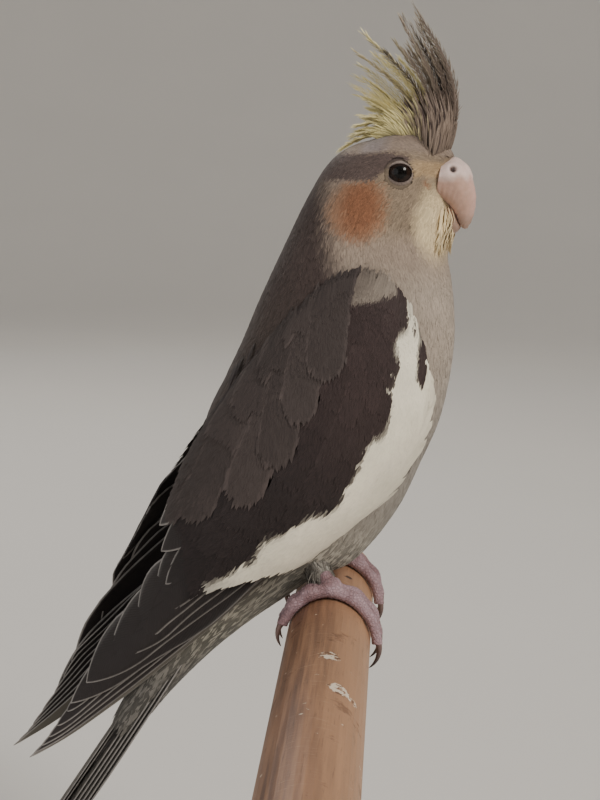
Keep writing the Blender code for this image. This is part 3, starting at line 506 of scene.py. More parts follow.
def growTufts(surface, outside, roots, aim, size, height, camber=0.16, curl=0.0):
    # Each tuft lies along aim over the surface: the steps along and across it are carried
    # into the surface's own two directions. Its height grows from its root to its tip.
    # roots, size and height are pairs: u and v, length and half width, at root and at tip.
    u, v = roots
    length, half = size
    step = 1e-3
    here, normal = normalsOf(surface, u, v, outside)
    du = (surface(u + step, v) - here) / step
    dv = (surface(u, v + step) - here) / step
    ahead = unit(aim - normal * np.sum(aim * normal, axis=1, keepdims=True))
    aside = np.cross(normal, ahead)
    uu, uv, vv = np.sum(du * du, axis=1), np.sum(du * dv, axis=1), np.sum(dv * dv, axis=1)
    area = np.maximum(uu * vv - uv * uv, 1e-6)

    def carried(direction):
        a, b = np.sum(du * direction, axis=1), np.sum(dv * direction, axis=1)
        return ((vv * a - uv * b) / area)[:, None], ((uu * b - uv * a) / area)[:, None]

    along = np.concatenate([[0], np.repeat(tuft["along"], 3), [1]])
    across = np.concatenate([[0], np.tile(tuft["across"], 3), [0]])
    wide = np.concatenate([[0], np.repeat(tuft["wide"], 3), [0]])
    top = np.concatenate([[0], np.tile(tuft["top"], 3), [0]])
    a = length[:, None] * along
    b = half[:, None] * across * wide + np.reshape(curl, (-1, 1)) * length[:, None] * along ** 2
    rootHeight, tipHeight = height
    h = rootHeight[:, None] + (tipHeight - rootHeight)[:, None] * along ** 0.8
    h = h + half[:, None] * np.reshape(camber, (-1, 1)) * top * wide
    aheadU, aheadV = carried(ahead)
    asideU, asideV = carried(aside)
    placeU = u[:, None] + a * aheadU + b * asideU
    placeV = v[:, None] + a * aheadV + b * asideV
    points, normals = normalsOf(surface, placeU, placeV, outside)
    return points + normals * h[..., None]


def tuftPiece(name, points, tint, tipTint, bars, chance, u, v, material, slot, replaces=(), turned=False):
    # Each tuft has its own patch, about 0.003 across, at its root's place on the unwrap.
    along = np.concatenate([[0], np.repeat(tuft["along"], 3), [1]])
    vane = np.zeros((len(points), 11, 3))
    vane[..., 0] = np.concatenate([[0], np.tile(tuft["across"], 3), [0]])
    vane[..., 1] = along
    vane[..., 2] = chance[:, None]
    colours = np.zeros((len(points), 11, 4))
    colours[..., :3] = blendColour(tint[:, None], tipTint[:, None], along[None] ** 2)
    colours[..., 3] = bars[:, None]
    patch = 0.0015
    place = np.stack([u, v], axis=-1)[:, None] * (1 - 4 * patch) + 2 * patch
    place = place + np.stack([vane[..., 0] * patch, (vane[..., 1] * 2 - 1) * patch], axis=-1)
    piece = makePiece(name, points, tuftFaces(len(points)), material, slot, replaces, colours, vane, place, turned)
    piece.data.shade_flat()
    return piece


def strandPiece(name, paths, half, side, tint, tipTint, chance, uv, material, slot, turned=True):
    # Free tufts along paths of five points: flat to side, with a ridge on the other face.
    way = unit(np.gradient(paths, axis=1))
    side = unit(side[:, None] - way * np.sum(way * side[:, None], axis=-1, keepdims=True))
    out = np.cross(side, way)
    wide = half[:, None] * np.array((0.8, 1.0, 0.7))
    inner, across, up = paths[:, 1:4], side[:, 1:4], out[:, 1:4]
    rings = np.stack([inner - across * wide[..., None], inner + up * wide[..., None] * 0.5,
                      inner + across * wide[..., None]], axis=2)
    points = np.concatenate([paths[:, :1], rings.reshape(len(paths), 9, 3), paths[:, 4:]], axis=1)
    bars = np.zeros(len(paths))
    return tuftPiece(name, points, tint, tipTint, bars, chance, uv[0], uv[1], material, slot, (), turned)


def scatterRows(low, high, surface, spacing, draw, wrap=True, edges=None):
    # Roots in rows across the surface, each row offset by half a step, with some jitter.
    # spacing gives the step along and across at u.
    us, vs = [], []
    u = low
    odd = 0
    while u < high:
        along, across = spacing(u)
        first, last = (0.0, 2 * np.pi) if wrap else edges(u)
        v = np.linspace(first, last, 60)
        line = surface(np.full(60, u), v)
        run = np.concatenate([[0], np.cumsum(np.linalg.norm(np.diff(line, axis=0), axis=1))])
        count = max(int(run[-1] / across), 4)
        at = (np.arange(count) + 0.5 * odd + draw.uniform(-0.35, 0.35, count)) / count * run[-1]
        vs.append(np.interp(at, run, v))
        places = surface(np.array([u, u + 0.01] * 2), np.repeat([(first + last) / 2, first * 0.75 + last * 0.25], 2))
        grow = max(np.linalg.norm(places[1] - places[0]), np.linalg.norm(places[3] - places[2])) / 0.01
        us.append(u + draw.uniform(-0.4, 0.4, count) * along / grow)
        u += along / grow
        odd = 1 - odd
    return np.concatenate(us), np.concatenate(vs)


# Colours of the bird, as the photo shows them
shades = {
    "mantle": srgb(72, 62, 58),
    "nape": srgb(68, 57, 54),
    "breast": srgb(154, 142, 130),
    "belly": srgb(138, 132, 124),
    "throat": srgb(150, 134, 120),
    "face": srgb(136, 120, 102),
    "cream": srgb(220, 200, 160),
    "gold": srgb(148, 112, 86),
    "orange": srgb(134, 91, 66),
    "band": srgb(86, 73, 70),
    "forehead": srgb(138, 122, 110),
    "lores": srgb(170, 144, 110),
    "yellow": srgb(218, 206, 150),
    "paleTip": srgb(228, 220, 188),
    "undertail": srgb(184, 179, 164),
    "ventDark": srgb(98, 96, 92),
    "wingDark": srgb(58, 47, 46),
    "wingDeep": srgb(44, 37, 37),
    "wingWhite": srgb(239, 232, 212),
    "wingShade": srgb(150, 146, 138),
    "scapular": srgb(66, 58, 56),
    "flight": srgb(46, 41, 41),
    "tailTop": srgb(70, 66, 64),
    "tailUnder": srgb(112, 107, 94),
    "lilac": srgb(150, 142, 146),
}
marks = {
    "front": (  # z, where the pale front begins
        (-40, -70.0), (0, -50.0), (30, -37.0), (60, -24.0), (89, -10.9), (96.6, -0.7), (100.6, 1.2), (108.6, 0.1),
        (120.7, -1.6), (131, -5.0), (145, -6.0),
    ),
    "goldRim": (6.0, 123.0, 8.6, 8.8),  # x and z of the middle, half sizes
    "core": (6.9, 123.2, 5.8, 7.6),
    "chin": (26.6, 119.0, 4.4, 9.4),
    "loreSpot": (24.9, 129.3, 1.6, 1.2),
    "band": (  # x, its lower and upper edge
        (-8, 130.6, 139.4), (4, 131.2, 139.2), (11, 131.6, 138.8), (13.5, 134.2, 138.8), (17, 136.3, 138.4),
        (20.4, 136.1, 137.4),
    ),
}


def near(x, z, mark, soft=0.35):
    # 1 inside an oval mark, falling to 0 over its soft edge.
    middleX, middleZ, wide, high = marks[mark]
    return 1 - ease(1 - soft, 1 + soft, np.hypot((x - middleX) / wide, (z - middleZ) / high))


def bodyTint(points, draw):
    # The bird's colours by place: back to breast, then the marks of the head.
    x, y, z = points[..., 0], np.abs(points[..., 1]), points[..., 2]
    ragged = draw.normal(0, 1, x.shape)
    front = ease(-6, 5, x - np.interp(z, *np.transpose(marks["front"])) + ragged)
    pale = blendColour(shades["belly"] + 0 * points, shades["breast"], ease(45, 90, z))
    # Painted light: the front of the breast, which faces the key lamp, is painted up to 14% lighter.
    pale = pale * (1 + 0.14 * ease(12, 30, x) * ease(55, 75, z))[..., None]
    pale = blendColour(pale, shades["throat"], ease(98, 112, z))
    pale = blendColour(pale, shades["face"], ease(111, 119, z) * ease(2, 10, x))
    back = blendColour(shades["mantle"] + 0 * points, shades["nape"], ease(85, 105, z))
    colour = blendColour(back, pale, front)
    top = ease(137.5, 140.5, z + 0.3 * ragged)
    colour = blendColour(colour, shades["forehead"], top * ease(8, 16, x))
    colour = blendColour(colour, shades["lilac"], top * ease(3, 8, x) * ease(16, 10, x) * 0.6)
    colour = blendColour(colour, shades["lores"], ease(19.5, 22, x) * ease(131.0, 132.6, z) * ease(137.5, 135.5, z) * 0.8)
    colour = blendColour(colour, shades["cream"], near(x, z, "chin", 0.5) * 0.85)
    colour = blendColour(colour, shades["orange"], near(x, z, "loreSpot", 0.5) * 0.7)
    cheekTop = ease(131.2, 129.6, z + 0.3 * ragged) * ease(2, 6, y)
    colour = blendColour(colour, shades["gold"], near(x + 0.5 * ragged, z, "goldRim", 0.28) * 0.85 * cheekTop)
    colour = blendColour(colour, shades["orange"], near(x + 0.4 * ragged, z, "core", 0.50) * cheekTop)
    low, high = np.moveaxis(smooth(marks["band"], np.clip(x, -8, 20.4)), -1, 0)
    band = ease(-0.8, 0.7, z - low + 0.3 * ragged) * ease(-0.8, 0.7, high - z + 0.3 * ragged) * ease(21.5, 19.0, x)
    colour = blendColour(colour, shades["band"], band * 0.95)
    under = ease(14, -4, z + 2 * ragged) * ease(-60, -34, x + z * 0.3)
    flank = ease(38, 18, z) * ease(-6, 6, x - np.interp(z, *np.transpose(marks["front"])))
    vent = blendColour(shades["undertail"] + 0 * points, shades["ventDark"], ease(6, -22, z))
    colour = blendColour(colour, vent, np.maximum(under, flank * 0.6))
    row = (0.57 * -x - 0.82 * z) / 3.0
    scallop = np.abs(np.sin(np.pi * (y / 3.4 + 0.5 * (np.floor(row) % 2))))
    line = np.abs((row + 0.30 * scallop + 0.06 * ragged) % 1.0 - 0.5)
    dark = 0.70 * ease(0.14, 0.24, line) * np.maximum(under, flank * 0.85)
    wander = (1 + draw.normal(0, 0.045, x.shape) * (1 + 1.3 * ease(104, 118, z))) * (1 - dark)
    return np.clip(colour * wander[..., None], 0, 1)


# Skin: one closed surface under the head, neck and torso
eye = {"place": (16.5, 9.3, 132.8), "radius": 4.3, "way": (0.26, 0.96, 0.10)}
coat = {
    "depth": ((-2, 0.7), (0, 0.9), (4, 1.0), (9, 0.95), (12, 0.8), (14, 0.65), (17, 0.55), (19, 0.45)),
    "size": (  # section number, length and half width of a tuft
        (-2, 8.5, 0.72), (0, 8.5, 0.72), (4, 9.0, 0.76), (8, 8.0, 0.68), (10.5, 6.4, 0.56), (12, 4.8, 0.44),
        (13.5, 3.8, 0.35), (16, 3.0, 0.29), (19, 2.6, 0.28),
    ),
    "rowStep": 0.18,
    "sideStep": 0.85,
    "eyeClear": 5.5,
    "dent": 1.5,
}


def dentAt(points):
    # How far skin and coat are drawn in round the base of the bill.
    gap = np.hypot(points[..., 0] - 29.0, points[..., 2] - 130.5)
    return coat["dent"] * ease(8.5, 3.0, gap)


def makeSkin(material):
    # The body's own surface, drawn in by the depth of its coat.
    rows, sides = 150, 112
    n = np.linspace(-1.9, 19, rows)[:, None] + np.zeros((rows, sides))
    turn = 2 * np.pi * np.arange(sides)[None, :] / sides + np.zeros((rows, sides))
    points, normals = normalsOf(bodyPoint, n, turn, 1)
    points = points - normals * (smooth(coat["depth"], n) + dentAt(points)[..., None])
    flat = np.concatenate([points.reshape(-1, 3), points[:1].mean(axis=1), points[-1:].mean(axis=1)])
    tint = bodyTint(flat, np.random.default_rng(3))
    colours = np.concatenate([tint, np.zeros((len(flat), 1))], axis=1)
    uv = np.stack([turn / (2 * np.pi), (n + 2) / 21.5], axis=-1).reshape(-1, 2)
    uv = np.concatenate([uv, [(0.5, 0.0), (0.5, 0.99)]])
    return makePiece("skin", flat, flipFaces(tubeFaces(rows, sides)), material, "torso",
                     ("head", "neck", "torso"), colours, None, uv, True)


def bodyFlow(points, tailward, n):
    # Down the body, and on the head away from the base of the bill and down.
    away = unit(points - np.array((30.0, 0.0, 131.5)))
    down = np.array((0.0, 0.0, -1.0)) * ease(140, 132, points[..., 2])[..., None]
    share = ease(11.8, 13.6, n)[..., None]
    return unit(tailward * (1 - share) + unit(away + down * 0.75) * share)


def makeCoat(material):
    # Tufts rooted in rows over the body, each lying along the flow of the plumage.
    draw = np.random.default_rng(11)

    def spacing(n):
        length, half = smooth(coat["size"], n)
        return length * coat["rowStep"], half * coat["sideStep"]

    n, turn = scatterRows(-1.7, 18.7, bodyPoint, spacing, draw)
    here = bodyPoint(n, turn)
    gap = np.linalg.norm(np.abs(here) * (0, 1, 0) + here * (1, 0, 1) - np.array(eye["place"]), axis=1)
    x, y, z = here[:, 0], np.abs(here[:, 1]), here[:, 2]
    underBill = (x > 27.5) & (y < 4.7) & (z > 116.5) & (z < 137.5)
    keep = (gap > coat["eyeClear"]) & ~underBill
    n, turn, here, gap = n[keep], turn[keep], here[keep], gap[keep]
    count = len(n)
    size = smooth(coat["size"], n)
    length = size[:, 0] * draw.uniform(0.75, 1.25, count) * (0.45 + 0.55 * ease(5, 9, gap))
    half = size[:, 1] * draw.uniform(0.75, 1.3, count)
    aim = bodyFlow(here, unit(bodyPoint(n - 0.01, turn) - here), n)
    _, normal = normalsOf(bodyPoint, n, turn, 1)
    aim = unit(aim + np.cross(normal, aim) * draw.normal(0, 0.11, (count, 1)))
    dent = dentAt(here)
    rootHeight = -0.042 * length - 0.10 - dent
    tipHeight = draw.uniform(-0.05, 0.07, count) * (0.4 + 0.06 * length) - dent
    tint = bodyTint(here + aim * length[:, None] * 0.8, draw)
    tipTint = np.clip(tint * (1.04 + 0.05 * draw.normal(0, 1, (count, 1))), 0, 1)
    chance = draw.uniform(0, 1, count)
    curl = draw.normal(0, 0.07, count)
    uvU, uvV = (turn / (2 * np.pi)) % 1.0, (n + 2) / 21.5
    for name, low, high in (("coatTailRoot", -9, 3.5), ("coatBelly", 3.5, 6.6), ("coatBreast", 6.6, 9.8),
                            ("coatNeck", 9.8, 12.3), ("coatNape", 12.3, 14.1), ("coatHead", 14.1, 16.2),
                            ("coatFace", 16.2, 30)):
        pick = (n >= low) & (n < high)
        points = growTufts(bodyPoint, 1, (n[pick], turn[pick]), aim[pick], (length[pick], half[pick]),
                           (rootHeight[pick], tipHeight[pick]), 0.09, curl[pick])
        tuftPiece(name, points, tint[pick], tipTint[pick], 0 * chance[pick], chance[pick], uvU[pick], uvV[pick],
                  material, "torso" if high < 12 else "head", (), True)


# Wings
wingCoat = {
    "core": (  # s, outer height, thickness
        (-7, -2.6, 1.0), (-2, -0.8, 3.0), (8, 0.0, 5.0), (28, -0.4, 6.6), (48, -0.8, 6.0), (62, -1.5, 4.6),
        (70, -2.4, 4.0), (76, -4.6, 2.2), (80, -6.2, 0.9),
    ),
    "height": ((-14, -2.2), (-8, -1.8), (-2, 0.2), (8, 1.0), (30, 1.5), (60, 1.9), (80, 1.7), (98, 1.2)),
    "size": ((-14, 3.8, 0.5), (0, 4.5, 0.5), (20, 6.5, 0.62), (60, 8.5, 0.74), (98, 10.0, 0.8)),
    "whiteTop": (
        (-8, 13.0), (-2, 8.6), (3.8, 6.9), (7.8, 3.6), (13.3, 0.6), (18, -2.9), (24, -5.7), (30.8, -5.9),
        (37.8, -8.2), (43.6, -8.7), (49.1, -9.9), (56.1, -7.2), (62.8, -3.9), (70.1, -2.9), (77.4, -3.7),
        (83.4, -0.7), (89.6, 0.4), (96.1, 1.1), (110, 2.0),
    ),
    "whiteLow": ((-9, 15.0), (-3.5, 7.6), (-1, 2.9), (2, 0.4), (6.5, -3.2), (7.6, -5.7), (9.0, -30.0), (120, -30.0)),
    "breastEdge": ((6, -30), (12, -12), (14, -8.0), (18.2, -4.0), (20.4, -0.5), (23.4, 3.3), (26.5, 7.0), (30, 9.0)),
    "coverEdge": ((-10, -40.0), (66, -40.0), (70.9, -14.2), (76.4, -9.4), (82.9, -5.4), (88.1, -2.4), (96.6, 1.4)),
    "scapulars": (  # place of the tip, turn toward the lower edge, half width, length
        (24, 14.9, 37, 5.6, 24), (38, 12.5, 33, 5.2, 24), (51.6, 9.2, 31, 5.5, 26), (66.4, 9.2, 20, 5.5, 26),
        (80.4, 16, 15, 5.2, 24), (12, 24.5, 30, 5.0, 18), (24, 26.5, 25, 5.0, 20), (36, 25, 22, 5.0, 22),
        (49, 23.5, 18, 5.0, 22), (62, 22.5, 14, 5.0, 22), (76, 24, 10, 4.6, 22), (88, 21, 8, 4.2, 20),
    ),
    "rows": (-11, -7.5, -3, 2, 7.5, 13.5, 20, 27, 34.5, 42.5, 51, 60, 70, 81, 92),
    "width": ((-12, 4.2), (10, 4.8), (40, 6.0), (106, 7.5)),
    "turn": ((-12, 34), (10, 28), (30, 20), (60, 8), (110, 0)),
}


def featherPlan(draw):
    # Outlines of single feathers, the ones on top first: place of the tip, turn, half
    # width and length. The rows of coverts are staggered below the scapulars.
    plan = list(wingCoat["scapulars"])
    for i, s in enumerate(wingCoat["rows"]):
        width = np.interp(s, *np.transpose(wingCoat["width"]))
        low, high = smooth(wing["edges"], np.clip(s, -7, 174))
        for t in np.arange(low - 3 + (i % 2) * width / 2, high + 3, width):
            at = s + draw.normal(0, 0.7) + 0.10 * (t - low)
            turn = np.interp(s, *np.transpose(wingCoat["turn"])) + draw.normal(0, 3)
            plan.append((at, t + draw.normal(0, 0.4), turn, 0.64 * width, width * 2.6))
    return np.array(plan)


def ownFeather(s, t, plan):
    # The first feather of the plan that holds each place: behind is the distance back from
    # its tip along its turn, aside the distance from its shaft over its half width there.
    # Its outline is half * sqrt(1 - (1 - behind / (1.3 half)) ^ 2).
    behind = np.full(s.shape, 6.0)
    aside = np.zeros(s.shape)
    number = np.full(s.shape, -1)
    for k in range(len(plan) - 1, -1, -1):
        tipS, tipT, turn, half, length = plan[k]
        c, r = math.cos(math.radians(turn)), math.sin(math.radians(turn))
        a = (tipS - s) * c - (tipT - t) * r
        b = (t - tipT) * c + (s - tipS) * r
        outline = half * np.sqrt(np.maximum(1 - (1 - np.clip(a / (1.3 * half), 0, 1)) ** 2, 1e-4))
        inside = (a > 0) & (a < length) & (np.abs(b) < outline)
        behind = np.where(inside, a, behind)
        aside = np.where(inside, b / outline, aside)
        number = np.where(inside, k, number)
    return number, behind, aside


def wingTint(s, t, aside, low, high):
    # Dark, with the cream-white patch along the lower edge, its upper edge in teeth.
    top = smooth(wingCoat["whiteTop"], s)[..., 0]
    bottom = np.interp(s, *np.transpose(wingCoat["whiteLow"]))
    white = ease(0.7, -0.7, t - top - 2.0 * (np.abs(aside) - 0.5)) * ease(-0.4, 0.8, t - bottom)
    # Painted shade: a thin strip along the lower edge loses its white and goes dark, for the wing's shaded underside.
    lowerEdgeShade = ease(1.7, 0.9, t - low) * ease(14, 22, s) * ease(50, 42, s)
    white = white * (1 - lowerEdgeShade)
    dark = blendColour(shades["wingDark"] + 0 * s[..., None], shades["wingDeep"], ease(15, 60, s))
    # Painted shade: where the wing tucks into the breast plumage, the breast's colour is painted darker (0.66), for the
    # shade at the wing's front edge.
    tucked = ease(1.2, -1.2, s - np.interp(t, *np.transpose(wingCoat["breastEdge"])))
    breast = blendColour(shades["nape"] + 0 * s[..., None], shades["breast"] * 0.66, ease(33, 20, t))
    dark = blendColour(dark, breast, tucked)
    cream = blendColour(shades["wingWhite"] + 0 * s[..., None], shades["wingShade"],
                        np.maximum(ease(80, 98, s), 0.25 * ease(-8, -18, t)))
    return blendColour(dark, cream, white), white


def makeBlades(name, side, paths, halves, heights, tilt, tints, material):
    # Long feathers on the wing: paths give s and t along each, count x rows x 2. Each is
    # a thin curved sheet, tilted across so that its upper edge goes under the next one.
    draw = np.random.default_rng(50 + side)
    surface = wingSurface(side)
    count, rows, columns = len(paths), paths.shape[1], 9
    v = np.linspace(-1, 1, columns)[None, None, :]
    s = paths[..., 0][..., None] + 0 * v
    t = paths[..., 1][..., None] + v * halves[..., None]
    low, high = np.moveaxis(smooth(wing["edges"], s), -1, 0)
    t = np.clip(t, low + 0.1, high - 0.3)
    h = heights[..., None] - tilt * v * halves[..., None] + 0.05 * (1 - v * v) * halves[..., None]
    points, normals = normalsOf(surface, s, t, side)
    outer = points + normals * h[..., None]
    inner = points + normals * (h - 0.26)[..., None]
    for layer in (outer, inner):
        layer[..., 1] = side * np.maximum(layer[..., 1] * side, 0.6)
    if side > 0:
        outer, inner = inner, outer
    layers = bladeLayers((count, rows, columns), tints, draw.uniform(0, 1, count), 0.0, halves)
    slabPiece(name, outer, inner, *layers, material, "wing")


wingBlades = {
    "primaries": {
        "tips": (173, 171, 168, 164, 159, 153, 147, 141), "root": 62, "inset": 2.4, "pitch": 1.7, "half": 3.0,
        "height": ((60, -4.0), (84, -3.9), (110, -3.1), (140, -2.0), (174, -1.2)), "point": 10.0,
    },
    "secondaries": (  # s and t along each, the lowest one first
        ((50, -8), (80, -5), (100, -3.5), (125, 2.0), (150, 4.4)),
        ((50, -4), (80, -1), (100, 2.5), (123.4, 5), (134.4, 5.2), (141.3, 5.2)),
        ((50, -2), (80, 2), (100, 5.0), (113, 5.3), (125.4, 5.2), (130, 4.8)),
        ((45, 0), (70, 3), (90, 6.5), (107, 6.5), (114, 4.2), (119.3, 2.8)),
        ((45, 0), (70, 3), (83, 6), (93.6, 7.6), (101, 6.2), (108.4, 4)),
        ((45, 3), (70, 6), (84, 8), (94, 8.6), (98.5, 8.6)),
        ((45, 10), (70, 14), (84, 15.5), (90, 15.5), (93, 15.5)),
        ((45, 20), (65, 23), (78, 22), (86, 20.8), (89, 20.5)),
    ),
    "farTop": (
        ((45, 10), (70, 14), (92, 15), (106, 12.6), (118, 9.5)),
        ((45, 20), (65, 23), (84, 21.6), (96, 18), (108, 14)),
    ),
    "secondaryHeight": ((45, -2.0), (76, -1.6), (84, -0.9), (110, -0.2), (150, -0.2)),
    "secondaryHalf": (5.5, 7.2, 7.4, 7.6, 8.0, 6.4, 6.0, 4.6, 5.6, 5.0),
}


def makeWingBlades(side, name, material):
    draw = np.random.default_rng(40 + side)
    rows = 30
    f = 1 - (1 - np.linspace(0, 1, rows)) ** 1.7
    spec = wingBlades["primaries"]
    count = len(spec["tips"])
    tip = np.array(spec["tips"])[:, None] + draw.uniform(-0.8, 0.8, (count, 1))
    s = spec["root"] + (tip - spec["root"]) * f
    low, high = np.moveaxis(smooth(wing["edges"], s), -1, 0)
    span = spec["inset"] + spec["pitch"] * (count - 1) + spec["half"]
    squeeze = np.minimum(1, (high - low - 0.6) / span)
    middle = low + (spec["inset"] + spec["pitch"] * np.arange(count)[:, None]) * squeeze
    left = np.clip((tip - s) / spec["point"], 0, 1)
    half = spec["half"] * squeeze * np.maximum(np.sqrt(1 - (1 - left) ** 2), 0.03)
    height = smooth(spec["height"], s)[..., 0] + draw.uniform(-0.06, 0.06, (count, 1))
    tint = shades["flight"] * (1 + draw.normal(0, 0.08, (count, 1)))
    # Painted highlight: the lowest primary is painted a little paler, for the light streak along the wing's tip.
    tint[0] = blendColour(tint[0], shades["wingWhite"], 0.12)
    makeBlades(f"{name}_primaries", side, np.stack([s, middle], axis=-1), half, height, 0.30, tint, material)

    paths, halves, heights = [], [], []
    lines = wingBlades["secondaries"] + (wingBlades["farTop"] if side > 0 else ())
    for i, line in enumerate(lines):
        at = line[0][0] + (line[-1][0] - line[0][0]) * f
        paths.append(np.stack([at, smooth(line, at)[..., 0]], axis=-1))
        reach = np.clip((line[-1][0] - at) / 22, 0.0, 1)
        halves.append(wingBlades["secondaryHalf"][i] * np.maximum(np.sin(np.pi / 2 * reach) ** 0.8, 0.03))
        heights.append(smooth(wingBlades["secondaryHeight"], at)[..., 0] + 0.19 * min(i, 7) - 0.5 * (i > 7))
    count = len(paths)
    tint = shades["flight"] * (1 + draw.normal(0, 0.07, (count, 1)))
    makeBlades(f"{name}_secondaries", side, np.array(paths), np.array(halves), np.array(heights), 0.05,
               tint, material)


def makeWing(side, node, name, coatPaint, bladePaint, skinMaterial):
    draw = np.random.default_rng(30 + side)
    surface = wingSurface(side)
    rows, columns = 60, 36
    s = np.linspace(-6.5, 79, rows)[:, None] + np.zeros((rows, columns))
    low, high = np.moveaxis(smooth(wing["edges"], s), -1, 0)
    v = np.linspace(-1, 1, columns)[None, :]
    t = (low + 1.2) + (high - low - 2.4) * (v + 1) / 2
    core = smooth(wingCoat["core"], s)
    points, normals = normalsOf(surface, s, t, side)
    top = core[..., 0] - 0.8 - 1.4 * v ** 4
    outer = (points + normals * top[..., None])[None]
    inner = (points + normals * (core[..., 0] - core[..., 1] + 0.4)[..., None])[None]
    if side > 0:
        outer, inner = inner, outer
    tint, _ = wingTint(s, t, 0 * s, low, high)
    slabPiece(f"{name}_skin", outer, inner, *bladeLayers((1, rows, columns), tint[None], np.zeros(1)),
              skinMaterial, "wing", (node,))

    def spacing(s):
        length, half = smooth(wingCoat["size"], s)
        return length * 0.16, half * 0.80

    def edges(s):
        return smooth(wing["edges"], np.clip(s, -7, 174)) + (0.2, -0.4)

    tipS, tipT = scatterRows(-6.4, 97.0, surface, spacing, draw, False, edges)
    low, high = np.moveaxis(smooth(wing["edges"], tipS), -1, 0)
    cover = np.interp(tipS, *np.transpose(wingCoat["coverEdge"]))
    keep = (tipT > cover) & (tipS < 97 - 0.9 * (tipT - 1.4) + 6 * ease(14, 22, tipT))
    tipS, tipT, low, high = tipS[keep], tipT[keep], low[keep], high[keep]
    count = len(tipS)
    plan = featherPlan(draw)
    number, behind, aside = ownFeather(tipS, tipT, plan)
    size = smooth(wingCoat["size"], tipS)
    tint, white = wingTint(tipS, tipT, aside, low, high)
    length = size[:, 0] * draw.uniform(0.8, 1.2, count) * (1 + 0.6 * white)
    half = size[:, 1] * draw.uniform(0.8, 1.25, count) * (1 + 0.8 * white)
    lowAhead = smooth(wing["edges"], tipS + 1)[:, 0]
    along = np.degrees(np.arctan2(low - lowAhead, 1.0))
    turn = np.where(number >= 0, plan[number, 2], np.interp(tipS, *np.transpose(wingCoat["turn"])))
    turn = turn - 8 * aside
    follow = np.maximum(white * 0.8, ease(7, 0, tipT - low))
    turn = np.radians(turn * (1 - follow) + along * follow + draw.normal(0, 3, count))
    rootS, rootT = tipS - length * np.cos(turn), tipT + length * np.sin(turn)
    here = surface(rootS, rootT)
    aim = unit(surface(rootS + 0.2 * np.cos(turn), rootT - 0.2 * np.sin(turn)) - here)
    scapular = (number >= 0) & (number < len(wingCoat["scapulars"]))
    rise = np.where(scapular, 0.30, 0.16) * (1 - 0.9 * white)
    height = smooth(wingCoat["height"], tipS)[:, 0] + rise * (1 - np.clip(behind / 12, 0, 1) - 0.10 * aside ** 2)
    height = height + 0.08 * scapular - 1.5 * ease(3.5, 0, tipT - low) - 1.6 * ease(3.5, 0, high - tipT)
    tipHeight = height + draw.uniform(-0.05, 0.05, count) * (1 - 0.7 * white)
    sink = smooth(wingCoat["height"], tipS)[:, 0] - smooth(wingCoat["height"], rootS)[:, 0]
    rootHeight = height - 0.20 - 0.045 * length * (1 - 0.6 * white) - np.maximum(sink, 0)
    edge = np.maximum(ease(0.80, 0.97, np.abs(aside)), ease(1.1, 0.2, behind)) * (1 - white)
    tone = 1 + 0.08 * np.sin(number * 2.4) * (1 - white) + draw.normal(0, 0.03, count) * (1 - 0.6 * white)
    tint = np.where((scapular * (1 - white) > 0.5)[:, None], shades["scapular"], tint)
    tint = np.clip(tint * (tone * (1 + edge * np.where(scapular, 0.42, 0.16)))[:, None], 0, 1)
    points = growTufts(surface, side, (rootS, rootT), aim, (length, half), (rootHeight, tipHeight),
                       0.09 * (1 - 0.8 * white), draw.normal(0, 0.03, count) * (1 - 0.5 * white))
    chance = 0.5 + (draw.uniform(0, 1, count) - 0.5) * (1 - 0.7 * white)
    tuftPiece(f"{name}_coverts", points, tint, np.clip(tint * 1.05, 0, 1), np.zeros(count), chance,
              (tipS + 10) / 190, (tipT + 24) / 64, coatPaint, "wing")
    makeWingBlades(side, name, bladePaint)


# Tail
tailFeathers = {
    "lengths": (155, 146, 129, 111, 93, 77), "half": 5.4, "root": 14.0, "top": 3.4, "layer": 0.85, "roof": 0.12,
    "pitch": ((12, 0.6), (60, 1.5), (110, 2.0), (155, 2.3)),
}
tailCoverts = {"over": (62, 6.6, 6.2), "under": (64, 6.0, 5.4)}  # reach, half spread, lift


